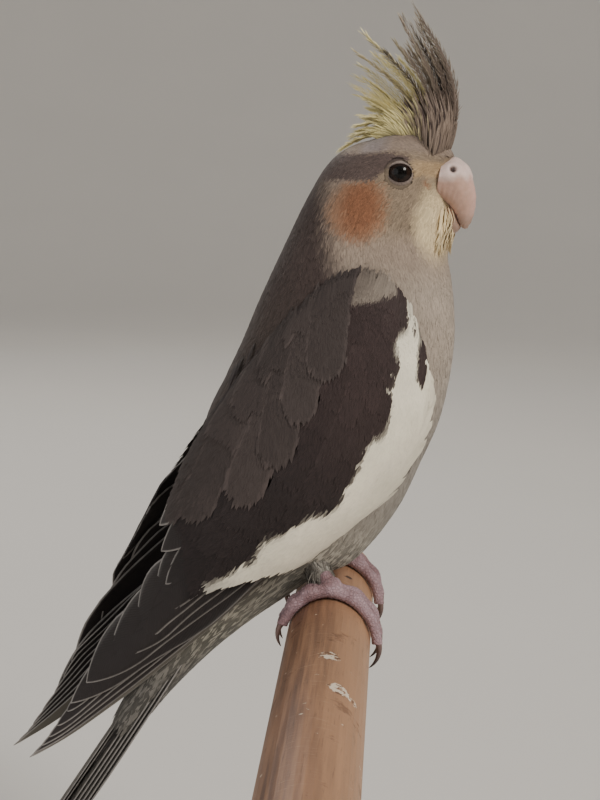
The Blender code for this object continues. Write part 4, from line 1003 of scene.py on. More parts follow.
def makeTail(bladePaint, coatPaint):
    draw = np.random.default_rng(60)
    rows, columns = 30, 9
    spec = tailFeathers
    lengths = np.repeat(spec["lengths"], 2)[:, None] * draw.uniform(0.985, 1.0, (12, 1))
    sides = np.tile((-1, 1), 6)[:, None]
    order = np.repeat(np.arange(6), 2)[:, None]
    f = 1 - (1 - np.linspace(0, 1, rows)[None, :]) ** 1.5
    along = spec["root"] + (lengths - spec["root"]) * f
    middle = sides * (0.5 + order * smooth(spec["pitch"], along)[..., 0])
    left = np.clip((lengths - along) / 26.0, 0, 1)
    half = spec["half"] * np.maximum(np.sqrt(1 - (1 - left) ** 2), 0.03) * (0.8 + 0.2 * ease(0, 0.3, f))
    level = np.where(order > 0, spec["top"] - spec["layer"] * (order + 1), spec["top"] - spec["layer"] * (sides > 0))
    v = np.linspace(-1, 1, columns)[None, None, :]
    y = middle[..., None] + v * half[..., None]
    y = np.where((order > 0)[..., None], sides[..., None] * np.maximum(y * sides[..., None], 0.3), y)
    up = level[..., None] - np.where(order > 0, spec["roof"], 0.0)[..., None] * np.abs(y) + 0.35 * (1 - v * v)
    outer = tailPoint(along[..., None], y, up)
    inner = tailPoint(along[..., None], y, up - 0.3)
    share = 0.12 + 0.25 * draw.uniform(0, 1, 12)
    tint = blendColour(shades["tailTop"] + np.zeros((12, 3)), shades["tailUnder"], share)
    layers = bladeLayers((12, rows, columns), tint, draw.uniform(0, 1, 12), 0.5, half)
    slabPiece("tail_feathers", outer, inner, *layers, bladePaint, "tail", ("tail",))
    for name, sideUp in (("over", 1), ("under", -1)):
        reach, spread, lift = tailCoverts[name]

        def surface(a, b):
            return tailPoint(a, b, sideUp * (lift - 0.055 * a - 0.05 * b * b))

        def edges(a):
            wide = spread * (1 - 0.55 * a / reach) ** 0.6
            return -wide, wide

        u, w = scatterRows(-4.0, reach - 7, surface, lambda a: (1.3, 0.62), draw, False, edges)
        count = len(u)
        aim = np.repeat(unit(tailPoint(1.0, 0.0, 0.0) - tailPoint(0.0, 0.0, 0.0))[None], count, axis=0)
        length = draw.uniform(6.0, 14.0, count)
        height = draw.uniform(-0.1, 0.25, count)
        points = growTufts(surface, -sideUp, (u, w), aim, (length, draw.uniform(0.7, 1.0, count)),
                           (height - 1.2, height), 0.14, draw.normal(0, 0.05, count))
        tone = shades["tailTop"] if sideUp > 0 else shades["ventDark"]
        tint = np.clip(tone * (1 + draw.normal(0, 0.09, (count, 1))), 0, 1)
        bars = draw.uniform(0.1, 0.4, count) if sideUp > 0 else draw.uniform(0.1, 0.8, count)
        tuftPiece(f"tail_{name}_coverts", points, tint, tint, bars, draw.uniform(0, 1, count),
                  (u + 5) / 90, (w + 10) / 20, coatPaint, "tail")


# Crest
crest = {
    "count": 54, "rows": 16, "barbs": 38, "half": 0.17, "reach": 3.6, "lean": 34.0, "fill": 2200,
    "crown": ((-6.8, 133), (-3, 137.1), (1.6, 139.8), (6.4, 141.4), (11, 143), (16, 144.2), (20.5, 144.3),
              (24.2, 143), (28.8, 139.6), (31.3, 135)),
    "guides": (  # x and z along the crest's feathers, from the front one to the rear one
        ((28.6, 141), (29.8, 149.5), (29.2, 158), (25.6, 166.2), (17.6, 177.8)),
        ((26.6, 142), (27.4, 150.5), (25, 158.5), (20.5, 167), (13.8, 177.2)),
        ((24.5, 142.8), (24.5, 150.5), (21.5, 158.5), (16.5, 166.5), (11.3, 174.6)),
        ((22, 143.2), (20.5, 150), (17, 157), (9.5, 163.5), (1.8, 169.6)),
        ((19.5, 143.5), (17, 148.2), (12, 152.5), (5.5, 157.5), (-1.6, 161.2)),
        ((17.5, 143.5), (14.5, 147), (10.5, 149.8), (6.5, 152), (2, 153.8)),
        ((15.5, 143.3), (12, 145.8), (8.5, 147), (5, 146.5), (1.7, 145.4)),
        ((13, 142.8), (9, 143), (5, 142.3), (1.5, 140.8), (-1.6, 138.6)),
    ),
}


def makeCrest(material):
    # Feathers between neighbouring guides, each a thin shaft with loose barbs on both sides
    # that lean toward its tip: barb = shaft(f) + reach(f) * (sin(lean) side + cos(lean) way).
    draw = np.random.default_rng(71)
    count, rows, barbs = crest["count"], crest["rows"], crest["barbs"]
    guides = np.array(crest["guides"], float)
    g = np.linspace(0, 1, count) ** 1.15 * (len(guides) - 1) + draw.normal(0, 0.16, count)
    g = np.clip(g, 0, len(guides) - 1.001)
    i = g.astype(int)
    share = (g - i)[:, None, None]
    line = guides[i] * (1 - share) + guides[i + 1] * share
    f = np.linspace(0, 1, rows)
    length = draw.uniform(0.70, 1.0, count)
    length[:3] = (1.0, 0.97, 0.93)
    at = np.clip(f[None] * length[:, None], 0, 1) * 4
    step = np.arange(5.0)
    path = np.stack([smooth(np.column_stack([step, line[n]]), at[n]) for n in range(count)])
    place = draw.uniform(-1, 1, count)
    y = place[:, None] * (2.4 + (2.2 + draw.normal(0, 0.8, (count, 1))) * f[None] ** 1.2)
    path = np.stack([path[..., 0], y, path[..., 1] - 0.10 * y ** 2 * (1 - f) - 0.8 * (1 - f) ** 4], axis=-1)
    path = path + draw.normal(0, 0.10, (count, 1, 3)) * f[:, None]
    yellow = ease(2.4, 3.4, g + draw.normal(0, 0.35, count))
    base = blendColour(shades["forehead"] + np.zeros((count, 3)), shades["yellow"], yellow)
    dark = draw.uniform(0, 1, count) < 0.22
    base[dark & (g < 3.0)] = shades["nape"]
    base = base * (1 + draw.normal(0, 0.07, (count, 1)))
    tipColour = blendColour(base, shades["paleTip"], 0.35 + 0.35 * yellow)
    roll = np.radians(-np.sign(place) * draw.uniform(38, 88, count))
    side = np.stack([np.sin(roll), np.cos(roll), 0 * roll], axis=1)

    # The barbs of all feathers: one strand of five points each
    f = np.linspace(0.03, 0.985, barbs)[None, :, None] + draw.uniform(-0.5, 0.5, (count, barbs, 2)) / barbs
    f = np.clip(f, 0.01, 0.99)
    sign = np.broadcast_to(np.array((-1.0, 1.0)), f.shape)
    feather = np.broadcast_to(np.arange(count)[:, None, None], f.shape)
    f, sign, feather = f.ravel(), sign.ravel(), feather.ravel()
    where = f * (rows - 1)
    k = np.clip(where.astype(int), 0, rows - 2)
    part = (where - k)[:, None]
    start = path[feather, k] * (1 - part) + path[feather, k + 1] * part
    way = unit(path[feather, k + 1] - path[feather, k])
    across = unit(side[feather] - way * np.sum(way * side[feather], axis=1, keepdims=True))
    up = np.cross(across, way)
    total = len(f)
    reach = crest["reach"] * np.interp(f, (0, 0.15, 0.45, 0.8, 1), (0.5, 0.9, 1.0, 0.85, 0.9))
    reach = (reach * draw.uniform(0.75, 1.2, total))[:, None, None]
    lean = np.radians(np.interp(f, (0, 0.8, 1), (crest["lean"], crest["lean"] - 6, 8)) + draw.normal(0, 5, total))
    lean = (lean * sign)[:, None, None]
    run = np.linspace(0, 1, 5)[None, :, None]
    bend = 1 - 0.35 * run
    paths = start[:, None] + reach * run * (np.cos(lean) * way[:, None] + np.sin(lean) * bend * across[:, None])
    paths = paths + up[:, None] * (draw.normal(0.0, 0.10, (total, 1, 1)) * reach * run ** 2)
    shade = (1 + draw.normal(0, 0.06, (total, 1)))
    tip = blendColour(base[feather], tipColour[feather], ease(0.3, 1.0, f)) * shade
    strandPiece("crestBarbs", paths, np.full(total, crest["half"]) * draw.uniform(0.8, 1.3, total), up,
                np.clip(base[feather] * shade * 0.92, 0, 1), np.clip(tip * 1.08, 0, 1), draw.uniform(0, 1, total),
                (g[feather] / 8, 0.02 + 0.9 * f), material, "head")

    # Short feathers that fill the crest's foot: rooted over the crown, along the guides
    count = crest["fill"]
    u = draw.uniform(0, 1, count) ** 0.85 * (len(guides) - 1)
    i = np.clip(u.astype(int), 0, len(guides) - 2)
    share = (u - i)[:, None, None]
    line = guides[i] * (1 - share) + guides[i + 1] * share
    y = np.interp(u, (0, 2, 3, 7), (9.5, 8.8, 7.2, 5.2)) * np.tanh(draw.normal(0, 1, count) * 0.62)
    length = draw.uniform(0.16, 0.42, count) * np.interp(u, (0, 3, 7), (1.0, 1.0, 1.3))
    length = length * (1.1 - 0.5 * ease(2, 8, np.abs(y)))
    at = np.linspace(0, 1, 5)[None] * length[:, None] * 4
    k = np.clip(at.astype(int), 0, 3)
    number = np.arange(count)[:, None]
    flat = line[number, k] * (1 - (at - k))[..., None] + line[number, k + 1] * (at - k)[..., None]
    spread = np.linspace(0, 1, 5)[None]
    x = flat[..., 0] + draw.normal(0, 0.9, (count, 1)) + draw.normal(0, 0.5, (count, 1)) * spread
    x = np.minimum(x, 28.6 + 1.6 * spread - 0.05 * y[:, None] ** 2)
    sink = np.interp(x[:, 0], *np.transpose(crest["crown"])) - 0.06 * y ** 2 - flat[:, 0, 1] - 0.5
    z = flat[..., 1] + sink[:, None] * (1 - 0.6 * spread)
    paths = np.stack([x, y[:, None] * (1 + 0.25 * spread), z], axis=-1)
    shade = 1 + draw.normal(0, 0.12, (count, 1))
    yellow = ease(3.0, 4.6, u + draw.normal(0, 0.5, count))
    tint = blendColour(shades["forehead"] + np.zeros((count, 3)), shades["yellow"], yellow) * shade
    tint[(draw.uniform(0, 1, count) < 0.20) & (u < 4) & (u > 0.5)] = shades["nape"] * 1.3
    strandPiece("crestFoot", paths, draw.uniform(0.22, 0.42, count), np.tile((1.0, 0.0, 0.25), (count, 1)),
                np.clip(tint * 0.85, 0, 1), np.clip(tint * 1.1, 0, 1), draw.uniform(0, 1, count),
                (u / 8, 0.5 + y / 30), material, "head")

    # The shafts
    count = crest["count"]
    points = np.concatenate([tubePoints(path[n], np.linspace(0.22, 0.05, rows),
                                        np.repeat(side[n][None], rows, axis=0), 6) for n in range(count)])
    colours = np.ones((count, rows * 6 + 2, 4))
    colours[..., :3] = base[:, None] * 0.85
    colours[..., 3] = 0
    vane = np.zeros((count, rows * 6 + 2, 3))
    uv = np.zeros((count, rows * 6 + 2, 2))
    along = np.concatenate([np.repeat(np.linspace(0, 1, rows), 6), [0, 1]])
    vane[..., 1] = along
    uv[..., 0] = (g / 8)[:, None]
    uv[..., 1] = 0.02 + 0.9 * along
    makePiece("crestShafts", points, tubeFaces(rows, 6, count), material, "head", (), colours, vane, uv, True)


# Bill
bill = {
    "upper": (  # number, outer x and z, inner x and z, half width
        (0, 27.5, 137.0, 26.2, 126.0, 6.2), (1, 30.6, 137.5, 27.6, 125.2, 5.8), (2, 33.4, 135.4, 29.2, 124.2, 5.2),
        (3, 35.3, 131.6, 30.3, 123.0, 4.7), (4, 36.5, 127.6, 31.2, 121.6, 4.0), (5, 36.5, 123.6, 31.9, 120.0, 3.2),
        (6, 35.8, 120.3, 32.7, 118.5, 2.2), (7, 34.7, 118.0, 33.7, 117.7, 1.0),
    ),
    "lower": (
        (0, 29.2, 115.8, 29.2, 124.3, 4.1), (1, 30.6, 116.0, 30.5, 123.2, 3.9), (2, 31.7, 116.7, 31.3, 121.9, 3.3),
        (3, 32.5, 117.6, 31.9, 120.4, 2.3), (4, 32.9, 118.5, 32.4, 119.2, 1.1),
    ),
    "nostril": (30.3, 4.3, 133.9),
    "ridge": 0.30,  # how much narrower toward the culmen
    "colours": {"cere": srgb(222, 198, 190), "horn": srgb(204, 166, 154), "side": srgb(186, 150, 132),
                "tip": srgb(150, 124, 108), "hole": srgb(60, 42, 38)},
}


def billPiece(name, node, key, paint):
    # Sections across the bill: cos runs from the inner to the outer edge, sin sideways.
    rows, sides = (96, 72) if key == "upper" else (36, 40)
    n = np.linspace(0, len(bill[key]) - 1, rows)[:, None] + np.zeros((rows, sides))
    turn = 2 * np.pi * np.arange(sides)[None, :] / sides + np.zeros((rows, sides))

    def surface(n, turn):
        row = smooth(bill[key], n)
        cos, sin = np.cos(turn), np.sin(turn)
        x = (row[..., 0] + row[..., 2]) / 2 + (row[..., 0] - row[..., 2]) / 2 * cos
        z = (row[..., 1] + row[..., 3]) / 2 + (row[..., 1] - row[..., 3]) / 2 * cos
        return np.stack([x, row[..., 4] * sin * (1 - bill["ridge"] * cos * np.abs(cos)), z], axis=-1)

    points, normals = normalsOf(surface, n, turn, 1)
    centre = points.mean(axis=1, keepdims=True)
    normals = normals * np.sign(np.sum(normals * (points - centre), axis=-1, keepdims=True))
    x, y, z = points[..., 0], points[..., 1], points[..., 2]
    colour = blendColour(bill["colours"]["horn"] + 0 * points, bill["colours"]["side"], ease(1.0, 4.0, np.abs(y)))
    colour = blendColour(colour, bill["colours"]["tip"], ease(123.5, 119.5, z) * 0.8)
    if key == "upper":
        gap = np.linalg.norm(np.stack([x, np.abs(y), z], axis=-1) - np.array(bill["nostril"]), axis=-1)
        cere = ease(130.6, 133.0, z + 0.5 * np.cos(2.2 * y))
        swell = 0.45 * cere * ease(136.8, 134.5, z) + 0.75 * np.exp(-(gap / 2.3) ** 2) - 2.0 * np.exp(-(gap / 0.8) ** 2)
        edge = -0.18 * np.exp(-((z - 131.6) / 0.35) ** 2)
        grow = 0.05 * np.sin(n * 9.0 + 1.5 * np.cos(turn)) * ease(131, 128, z)
        points = points + normals * (swell + edge + grow)[..., None]
        colour = blendColour(colour, bill["colours"]["cere"], cere)
        # Painted shade: the pit of the nostril is painted dark.
        colour = blendColour(colour, bill["colours"]["hole"], ease(1.25, 0.65, gap))
    flat = np.concatenate([points.reshape(-1, 3), centre[0], centre[-1]])
    colours = np.concatenate([np.concatenate([colour.reshape(-1, 3), colour[0, :1], colour[-1, :1]]),
                              np.zeros((len(flat), 1))], axis=1)
    faces = tubeFaces(rows, sides)
    across = np.cross(surface(n + 0.01, turn) - surface(n, turn), surface(n, turn + 0.01) - surface(n, turn))
    outward = np.sum(across * (surface(n, turn) - centre)) > 0
    makePiece(name, flat, faces if outward else flipFaces(faces), paint, "bill", (node,), colours, None, None, True)


def billPaint():
    # Dull horn: fine growth lines along it, small chips and a drier, flaking surface.
    paint = Finish("billHorn")
    lines = paint.noise(1.0, 5.0, 0.65, paint.place((900.0, 900.0, 160.0)))
    fine = paint.noise(2600.0, 3.0)
    blotch = paint.noise(260.0, 3.0)
    dry = paint.range(paint.cells(700.0), 0.25, 0.6)
    light = 0.80 + lines * 0.16 + blotch * 0.20 + fine * 0.06 - dry * 0.05
    return paint.done({
        "Base Color": paint.brighten(paint.attribute("tint"), light),
        "Roughness": 0.34 + lines * 0.24 + dry * 0.12,
        "Normal": paint.bump(lines * 0.7 + fine * 0.5 + dry * 0.4, 0.5, 0.00012),
        "Subsurface Weight": 0.12,
        "Subsurface Radius": (0.002, 0.0012, 0.0008),
        "Specular IOR Level": 0.45,
    })


chin = {
    "count": 700, "length": (3.2, 5.6), "half": 0.22,
    "outline": ((100, 30.4), (107, 30.3), (112, 29.9), (114.7, 30.7), (117.2, 31.2), (119.7, 32.1), (126, 32.6)),
}


def makeChin(material):
    # Loose cream feathers rooted round the lower bill, that hang forward and down over it.
    draw = np.random.default_rng(83)
    count = chin["count"]
    turn = draw.uniform(-1.45, 1.45, count)
    up = draw.uniform(-1, 1, count)
    wide = 4.9 + 0.5 * draw.normal(0, 1, count)
    start = np.stack([27.2 + 2.6 * np.cos(turn) + draw.normal(0, 0.5, count), wide * np.sin(turn),
                      119.6 + 4.6 * up], axis=1)
    length = draw.uniform(*chin["length"], count)
    way = np.stack([0.50 * np.cos(turn) + 0.05, 0.16 * np.sin(turn), -0.75 + 0 * up], axis=1)
    way = unit(way + draw.normal(0, 0.10, (count, 3)))
    run = np.linspace(0, 1, 5)[None, :, None]
    fall = np.array((-0.35, 0.0, -0.45))
    paths = start[:, None] + length[:, None, None] * (run * way[:, None] + run ** 2 * 0.5 * fall)
    limit = np.interp(paths[..., 2], *np.transpose(chin["outline"])) + draw.uniform(-1.2, 0.25, (count, 1))
    paths[..., 0] = np.minimum(paths[..., 0], limit - 0.05 * paths[..., 1] ** 2)
    side = unit(np.cross(way, np.array((0.0, 0.0, 1.0))))
    tint = shades["cream"] * (1 + draw.normal(0, 0.10, (count, 1))) * (0.94 + 0.08 * up[:, None])
    strandPiece("chinFeathers", paths, chin["half"] * draw.uniform(0.8, 1.8, count), -side, tint,
                np.clip(tint * 1.12, 0, 1), draw.uniform(0, 1, count), (0.5 + 0.3 * turn / 1.45, 0.5 + 0.3 * up),
                material, "head")


# Eyes
lid = {
    "along": 0.55, "up": 0.35, "inner": (3.15, 2.35, 2.65), "outer": (5.4, 4.8), "bulge": 0.50,
    "colour": srgb(146, 132, 124), "rim": srgb(70, 57, 54), "corner": srgb(206, 198, 190),
}


def eyeFrame(side):
    # The middle of the eyeball, and its ways outward, forward and up.
    way = unit(np.array(eye["way"]) * (1, side, 1))
    ahead = unit(np.array((1.0, 0.0, 0.0)) - way * way[0])
    above = np.cross(way, ahead) * side
    return np.array(eye["place"]) * (1, side, 1), way, ahead, above * np.sign(above[2])


def makeEyes(ballPaint, lidPaint):
    for side, word in ((-1, "Right"), (1, "Left")):
        centre, way, ahead, above = eyeFrame(side)
        rows, sides = 48, 64
        polar = np.pi * (np.arange(rows)[:, None] + 1) / (rows + 1)
        turn = 2 * np.pi * np.arange(sides)[None, :] / sides
        radius = eye["radius"] * (1 + 0.035 * np.exp(-(polar / 0.45) ** 2))
        ring = np.cos(turn)[..., None] * ahead + np.sin(turn)[..., None] * above
        points = radius[..., None] * (np.cos(polar)[..., None] * way + np.sin(polar)[..., None] * ring)
        ends = np.stack([way * radius[0], -way * eye["radius"]])
        flat = np.concatenate([points.reshape(-1, 3), ends]) + centre
        dark, iris = srgb(7, 6, 6), srgb(34, 22, 16)
        share = ease(0.40, 0.46, polar + 0 * turn) * ease(0.80, 0.66, polar + 0 * turn)
        colour = blendColour(dark + 0 * points, iris, share)
        colours = np.concatenate([colour.reshape(-1, 3), np.tile(dark, (2, 1))])
        colours = np.concatenate([colours, np.zeros((len(flat), 1))], axis=1)
        faces = tubeFaces(rows, sides)
        makePiece(f"eyeball{word}", flat, faces if side < 0 else flipFaces(faces), ballPaint, "eye",
                  (f"eye_{word.lower()}",), colours, None, None, True)

        # The lids: a soft ring from the almond opening on the ball to the coat round it.
        rows, sides = 14, 120
        turn = 2 * np.pi * np.arange(sides)[None, :] / sides
        cos, sin = np.cos(turn), np.sin(turn)
        inner = np.stack([lid["inner"][0] * cos * (1 + 0.10 * (cos < 0) * np.abs(cos) ** 3),
                          np.where(sin > 0, lid["inner"][1], lid["inner"][2]) * sin], axis=-1)
        outer = np.stack([lid["outer"][0] * cos * (1 + 0.10 * (cos < 0)), lid["outer"][1] * sin], axis=-1)
        f = np.linspace(0, 1, rows)[:, None, None]
        flatPlace = inner + (outer - inner) * f
        reach = np.linalg.norm(flatPlace, axis=-1)
        onBall = np.sqrt(np.maximum((eye["radius"] + 0.10) ** 2 - reach ** 2, 0.2))
        f = f[..., 0]
        folds = 0.05 * np.sin(f * 21) * ease(0.05, 0.3, f) + 0.05 * np.sin(turn * 38 + 3 * f) * f
        height = np.maximum(onBall, 1.9 + 0.3 * (1 - f)) * (1 - f) + (1.6 + 0.25 * cos) * f
        height = height + lid["bulge"] * np.sin(np.pi * f ** 0.55) + folds
        below = height - 0.5 - 0.6 * f

        def placed(where, h):
            return centre + where[..., :1] * ahead + where[..., 1:] * above + h[..., None] * way

        top, bottom = placed(flatPlace, height), placed(flatPlace, below)
        points = np.concatenate([top, bottom[::-1]])
        tint = blendColour(lid["rim"] + 0 * top, lid["colour"], ease(0.02, 0.16, f + 0 * turn))
        corner = ease(-0.80, -0.97, cos) * ease(0.10, 0.30, f) * ease(0.85, 0.60, f)
        tint = blendColour(tint, lid["corner"], corner * 0.8)
        tint = np.concatenate([tint, tint[::-1]])
        tint = np.concatenate([tint, 0 * tint[..., :1]], axis=-1)
        i = np.arange(2 * rows)[:, None]
        j = np.arange(sides)[None, :]
        i1, j1 = (i + 1) % (2 * rows), (j + 1) % sides
        faces = np.stack(np.broadcast_arrays(i * sides + j, i * sides + j1, i1 * sides + j1, i1 * sides + j), axis=-1)
        faces = [faces.reshape(-1, 4)]
        makePiece(f"lids{word}", points, faces if side < 0 else flipFaces(faces), lidPaint, "head", (),
                  tint, None, None, True)


def eyePaint():
    paint = Finish("eyeball")
    fleck = paint.noise(1800.0, 3.0)
    return paint.done({
        "Base Color": paint.brighten(paint.attribute("tint"), 0.7 + fleck * 0.6),
        "Roughness": 0.06 + fleck * 0.03,
        "Specular IOR Level": 0.22,
    })


def lidPaint():
    # Bare skin with small grains.
    paint = Finish("lidSkin")
    grain = paint.cells(1700.0)
    cloud = paint.noise(500.0, 3.0)
    return paint.done({
        "Base Color": paint.brighten(paint.attribute("tint"), 0.70 + grain * 0.4 + cloud * 0.2),
        "Roughness": 0.55 + cloud * 0.2,
        "Normal": paint.bump(grain * -1.0 + cloud * 0.4, 0.5, 0.0002),
        "Specular IOR Level": 0.35,
    })


# Legs and feet
thighDown = {"count": 900, "from": (0.2, 2.4)}


def mottledDown(count, draw):
    # Grey down with paler and darker feathers among it.
    mottle = draw.uniform(0, 1, count) ** 2
    tint = blendColour(np.tile(shades["belly"] * 0.62, (count, 1)), shades["wingShade"] * 1.2, mottle)
    return np.clip(tint * (1 + draw.normal(0, 0.10, (count, 1))), 0, 1)


def makeLegs(coatPaint, skinMaterial):
    for side, word in ((-1, "Right"), (1, "Left")):
        draw = np.random.default_rng(90 + side)
        surface = legSurface(side)
        rows, sides = 40, 40
        n = np.linspace(0, 4, rows)[:, None] + np.zeros((rows, sides))
        turn = 2 * np.pi * np.arange(sides)[None, :] / sides + np.zeros((rows, sides))
        points, normals = normalsOf(surface, n, turn, -1)
        points = points - normals * 0.5
        flat = np.concatenate([points.reshape(-1, 3), points[:1].mean(axis=1), points[-1:].mean(axis=1)])
        colours = np.concatenate([np.tile(shades["belly"] * 0.7, (len(flat), 1)), np.zeros((len(flat), 1))], axis=1)
        makePiece(f"legSkin{word}", flat, tubeFaces(rows, sides), skinMaterial, "leg",
                  (f"leg_{word.lower()}",), colours)

        u, v = scatterRows(0.6, 3.9, surface, lambda n: (0.8, 0.45), draw)
        count = len(u)
        here = surface(u, v)
        aim = unit(surface(u - 0.01, v) - here)
        length = np.minimum(draw.uniform(3.2, 5.6, count), 1.8 * u + 1.0)
        half = draw.uniform(0.32, 0.5, count)
        height = draw.uniform(-0.05, 0.5, count)
        grown = growTufts(surface, -1, (u, v), aim, (length, half), (height - 0.7, height), 0.16,
                          draw.normal(0, 0.12, count))
        tint = mottledDown(count, draw)
        tuftPiece(f"legCoat{word}", grown, tint, np.clip(tint * 1.1, 0, 1), draw.uniform(0, 0.4, count),
                  draw.uniform(0, 1, count), u / 4.2, (v / (2 * np.pi)) % 1.0, coatPaint, "leg")

        # Loose down that hangs from the thigh round the shank, to the foot
        count = thighDown["count"]
        u, v = draw.uniform(*thighDown["from"], count), draw.uniform(0, 2 * np.pi, count)
        start = surface(u, v)
        ankle = np.array((leg["stub"][0] + 0.6, side * leg["stub"][1], leg["stub"][2] - 5.5))
        way = unit(ankle - start + draw.normal(0, 1.3, (count, 3)))
        length = np.linalg.norm(ankle - start, axis=1) * draw.uniform(0.55, 0.95, count)
        bulge = unit(start - ankle * (1, 1, 0) - start * (0, 0, 1)) * 1.5
        run = np.linspace(0, 1, 5)[None, :, None]
        paths = start[:, None] + length[:, None, None] * run * way[:, None]
        paths = paths + bulge[:, None] * np.sin(np.pi * run * 0.8)
        tint = mottledDown(count, draw)
        strandPiece(f"legDown{word}", paths, draw.uniform(0.22, 0.42, count), np.cross(way, bulge), tint,
                    np.clip(tint * 1.1, 0, 1), draw.uniform(0, 1, count),
                    (u / 4.2, (v / (2 * np.pi)) % 1.0), coatPaint, "leg", False)


foot = {
    "perch": 12.3, "middle": 18.5, "palm": (0.4, 15.2, 3.0),
    "toes": (  # where it starts and ends across the perch, its angle, its claw's angle
        ("Inner", 1.0, 5.2, 88, 119), ("Outer", -1.2, -4.0, 88, 119),
        ("RearInner", 0.9, 3.6, -72, -99), ("RearOuter", -1.0, -3.4, -72, -99),
    ),
    "stub": ((0.4, 0.0, 15.0, 2.4), (-1.0, 1.2, 16.4, 2.2), (-2.4, 3.2, 17.9, 2.0)),
    "scutes": 1.7, "voxel": 0.20,
}


def gripPath(side, start, end, first, last, rows, clear):
    # Round the perch: angle first to last in degrees, y from start to end.
    f = np.linspace(0, 1, rows)
    angle = np.radians(first + (last - first) * f)
    reach = foot["perch"] + clear
    y = side * (foot["middle"] + start + (end - start) * f)
    return np.stack([reach * np.sin(angle), y, reach * np.cos(angle)], axis=1)


def toeRadii(rows, sides, length):
    # A toe thins toward its claw and swells at its joints; across its top lie raised
    # plates: 1 + 0.07 (cos(6 pi f) - 1), and 0.07 |sin(pi run / pitch)| ^ 0.5 on top.
    f = np.linspace(0, 1, rows)[:, None]
    turn = 2 * np.pi * np.arange(sides)[None, :] / sides
    radius = (2.35 - 0.80 * f) * (1 + 0.07 * (np.cos(6 * np.pi * f) - 1))
    run = f * length / foot["scutes"]
    plates = np.abs(np.sin(np.pi * run)) ** 0.5
    beads = np.abs(np.sin(np.pi * run * 1.6) * np.cos(turn * 5)) ** 0.7
    onTop = ease(-0.2, 0.5, np.sin(turn))
    return radius * (0.93 + 0.13 * plates * onTop + 0.09 * beads * (1 - onTop))


def makeFeet(skinPaint, clawPaint):
    for side, word in ((-1, "Right"), (1, "Left")):
        points, faces, first = [], [], 0
        clawPoints, clawFaces, clawFirst = [], [], 0
        rows, sides = 90, 28
        for name, start, end, angle, claw in foot["toes"]:
            clear = np.linspace(2.35, 1.7, rows) * (1 + 0.07 * (np.cos(6 * np.pi * np.linspace(0, 1, rows)) - 1))
            path = gripPath(side, start, end, 0, angle, rows, clear)
            length = np.sum(np.linalg.norm(np.diff(path, axis=0), axis=1))
            lobes = toeRadii(rows, sides, length)
            outward = path * (1, 0, 1)
            across = np.cross(np.gradient(path, axis=0), outward)
            if angle < 0:
                across = -across
            rings = tubePoints(path, np.ones(rows), across, sides, lobes)
            points.append(rings)
            faces.append([face + first for face in tubeFaces(rows, sides)])
            first += len(rings)
            sign = 1 if angle > 0 else -1
            count, ring = 40, 20
            f = np.linspace(0, 1, count)
            lift = 1.7 + 3.2 * f - 3.6 * f * f
            path = gripPath(side, end, end, angle - 6 * sign, claw, count, lift)
            radii = 1.05 * np.clip(1 - f ** 1.2, 0, 1) ** 0.7 + 0.04
            lobe = 1 + 0.10 * np.cos(2 * (2 * np.pi * np.arange(ring) / ring))[None, :] + np.zeros((count, 1))
            rings = tubePoints(path, radii, np.tile((0.0, 1.0, 0.0), (count, 1)), ring, lobe)
            clawPoints.append(rings)
            clawFaces.append([face + clawFirst for face in tubeFaces(count, ring)])
            clawFirst += len(rings)
        stub = np.array(foot["stub"])
        f = np.linspace(0, 1, 40)
        line = smooth(np.column_stack([(0, 0.5, 1), stub]), f)
        path = np.stack([line[:, 0], side * (foot["middle"] - line[:, 1]), line[:, 2]], axis=1)
        rings = tubePoints(path, line[:, 3], np.tile((0.0, 1.0, 0.0), (40, 1)), 28)
        points.append(rings)
        faces.append([face + first for face in tubeFaces(40, 28)])
        first += len(rings)
        x, z, radius = foot["palm"]
        polar = np.pi * (np.arange(20)[:, None] + 1) / 21
        turn = 2 * np.pi * np.arange(28)[None, :] / 28
        ball = radius * np.stack([np.sin(polar) * np.cos(turn), np.sin(polar) * np.sin(turn), np.cos(polar) + 0 * turn], axis=-1)
        ball = np.concatenate([ball.reshape(-1, 3), [(0, 0, radius), (0, 0, -radius)]]) + (x, side * foot["middle"], z)
        points.append(ball)
        faces.append([face + first for face in tubeFaces(20, 28)])
        joinFoot(word, np.concatenate(points), faces, skinPaint)
        makePiece(f"claws{word}", np.concatenate(clawPoints), [face for group in clawFaces for face in group],
                  clawPaint, "foot")


def joinFoot(word, points, groups, paint):
    # Toes, palm and shank made one skin by a fine voxel remesh, then eased a little.
    mesh = bpy.data.meshes.new("footParts")
    mesh.from_pydata(((points + birdPlace) * 0.001).tolist(), [],
                     [face for group in groups for part in group for face in part.tolist()])
    parts = bpy.data.objects.new("footParts", mesh)
    bpy.context.scene.collection.objects.link(parts)
    remesh = parts.modifiers.new("join", "REMESH")
    remesh.mode = "VOXEL"
    remesh.voxel_size = foot["voxel"] * 0.001
    remesh.adaptivity = 0.0
    soften = parts.modifiers.new("ease", "SMOOTH")
    soften.factor = 0.5
    soften.iterations = 2
    joined = bpy.data.meshes.new_from_object(parts.evaluated_get(bpy.context.evaluated_depsgraph_get()))
    bpy.data.objects.remove(parts)
    joined.name = f"footSkin{word}"
    joined.materials.clear()
    joined.materials.append(paint)
    joined.shade_smooth()
    piece = bpy.data.objects.new(f"footSkin{word}", joined)
    bpy.context.scene.collection.objects.link(piece)
    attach(piece, "root")
    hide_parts(f"foot_{word.lower()}")
    print(f"footSkin{word}: {2 * len(joined.polygons)} triangles")


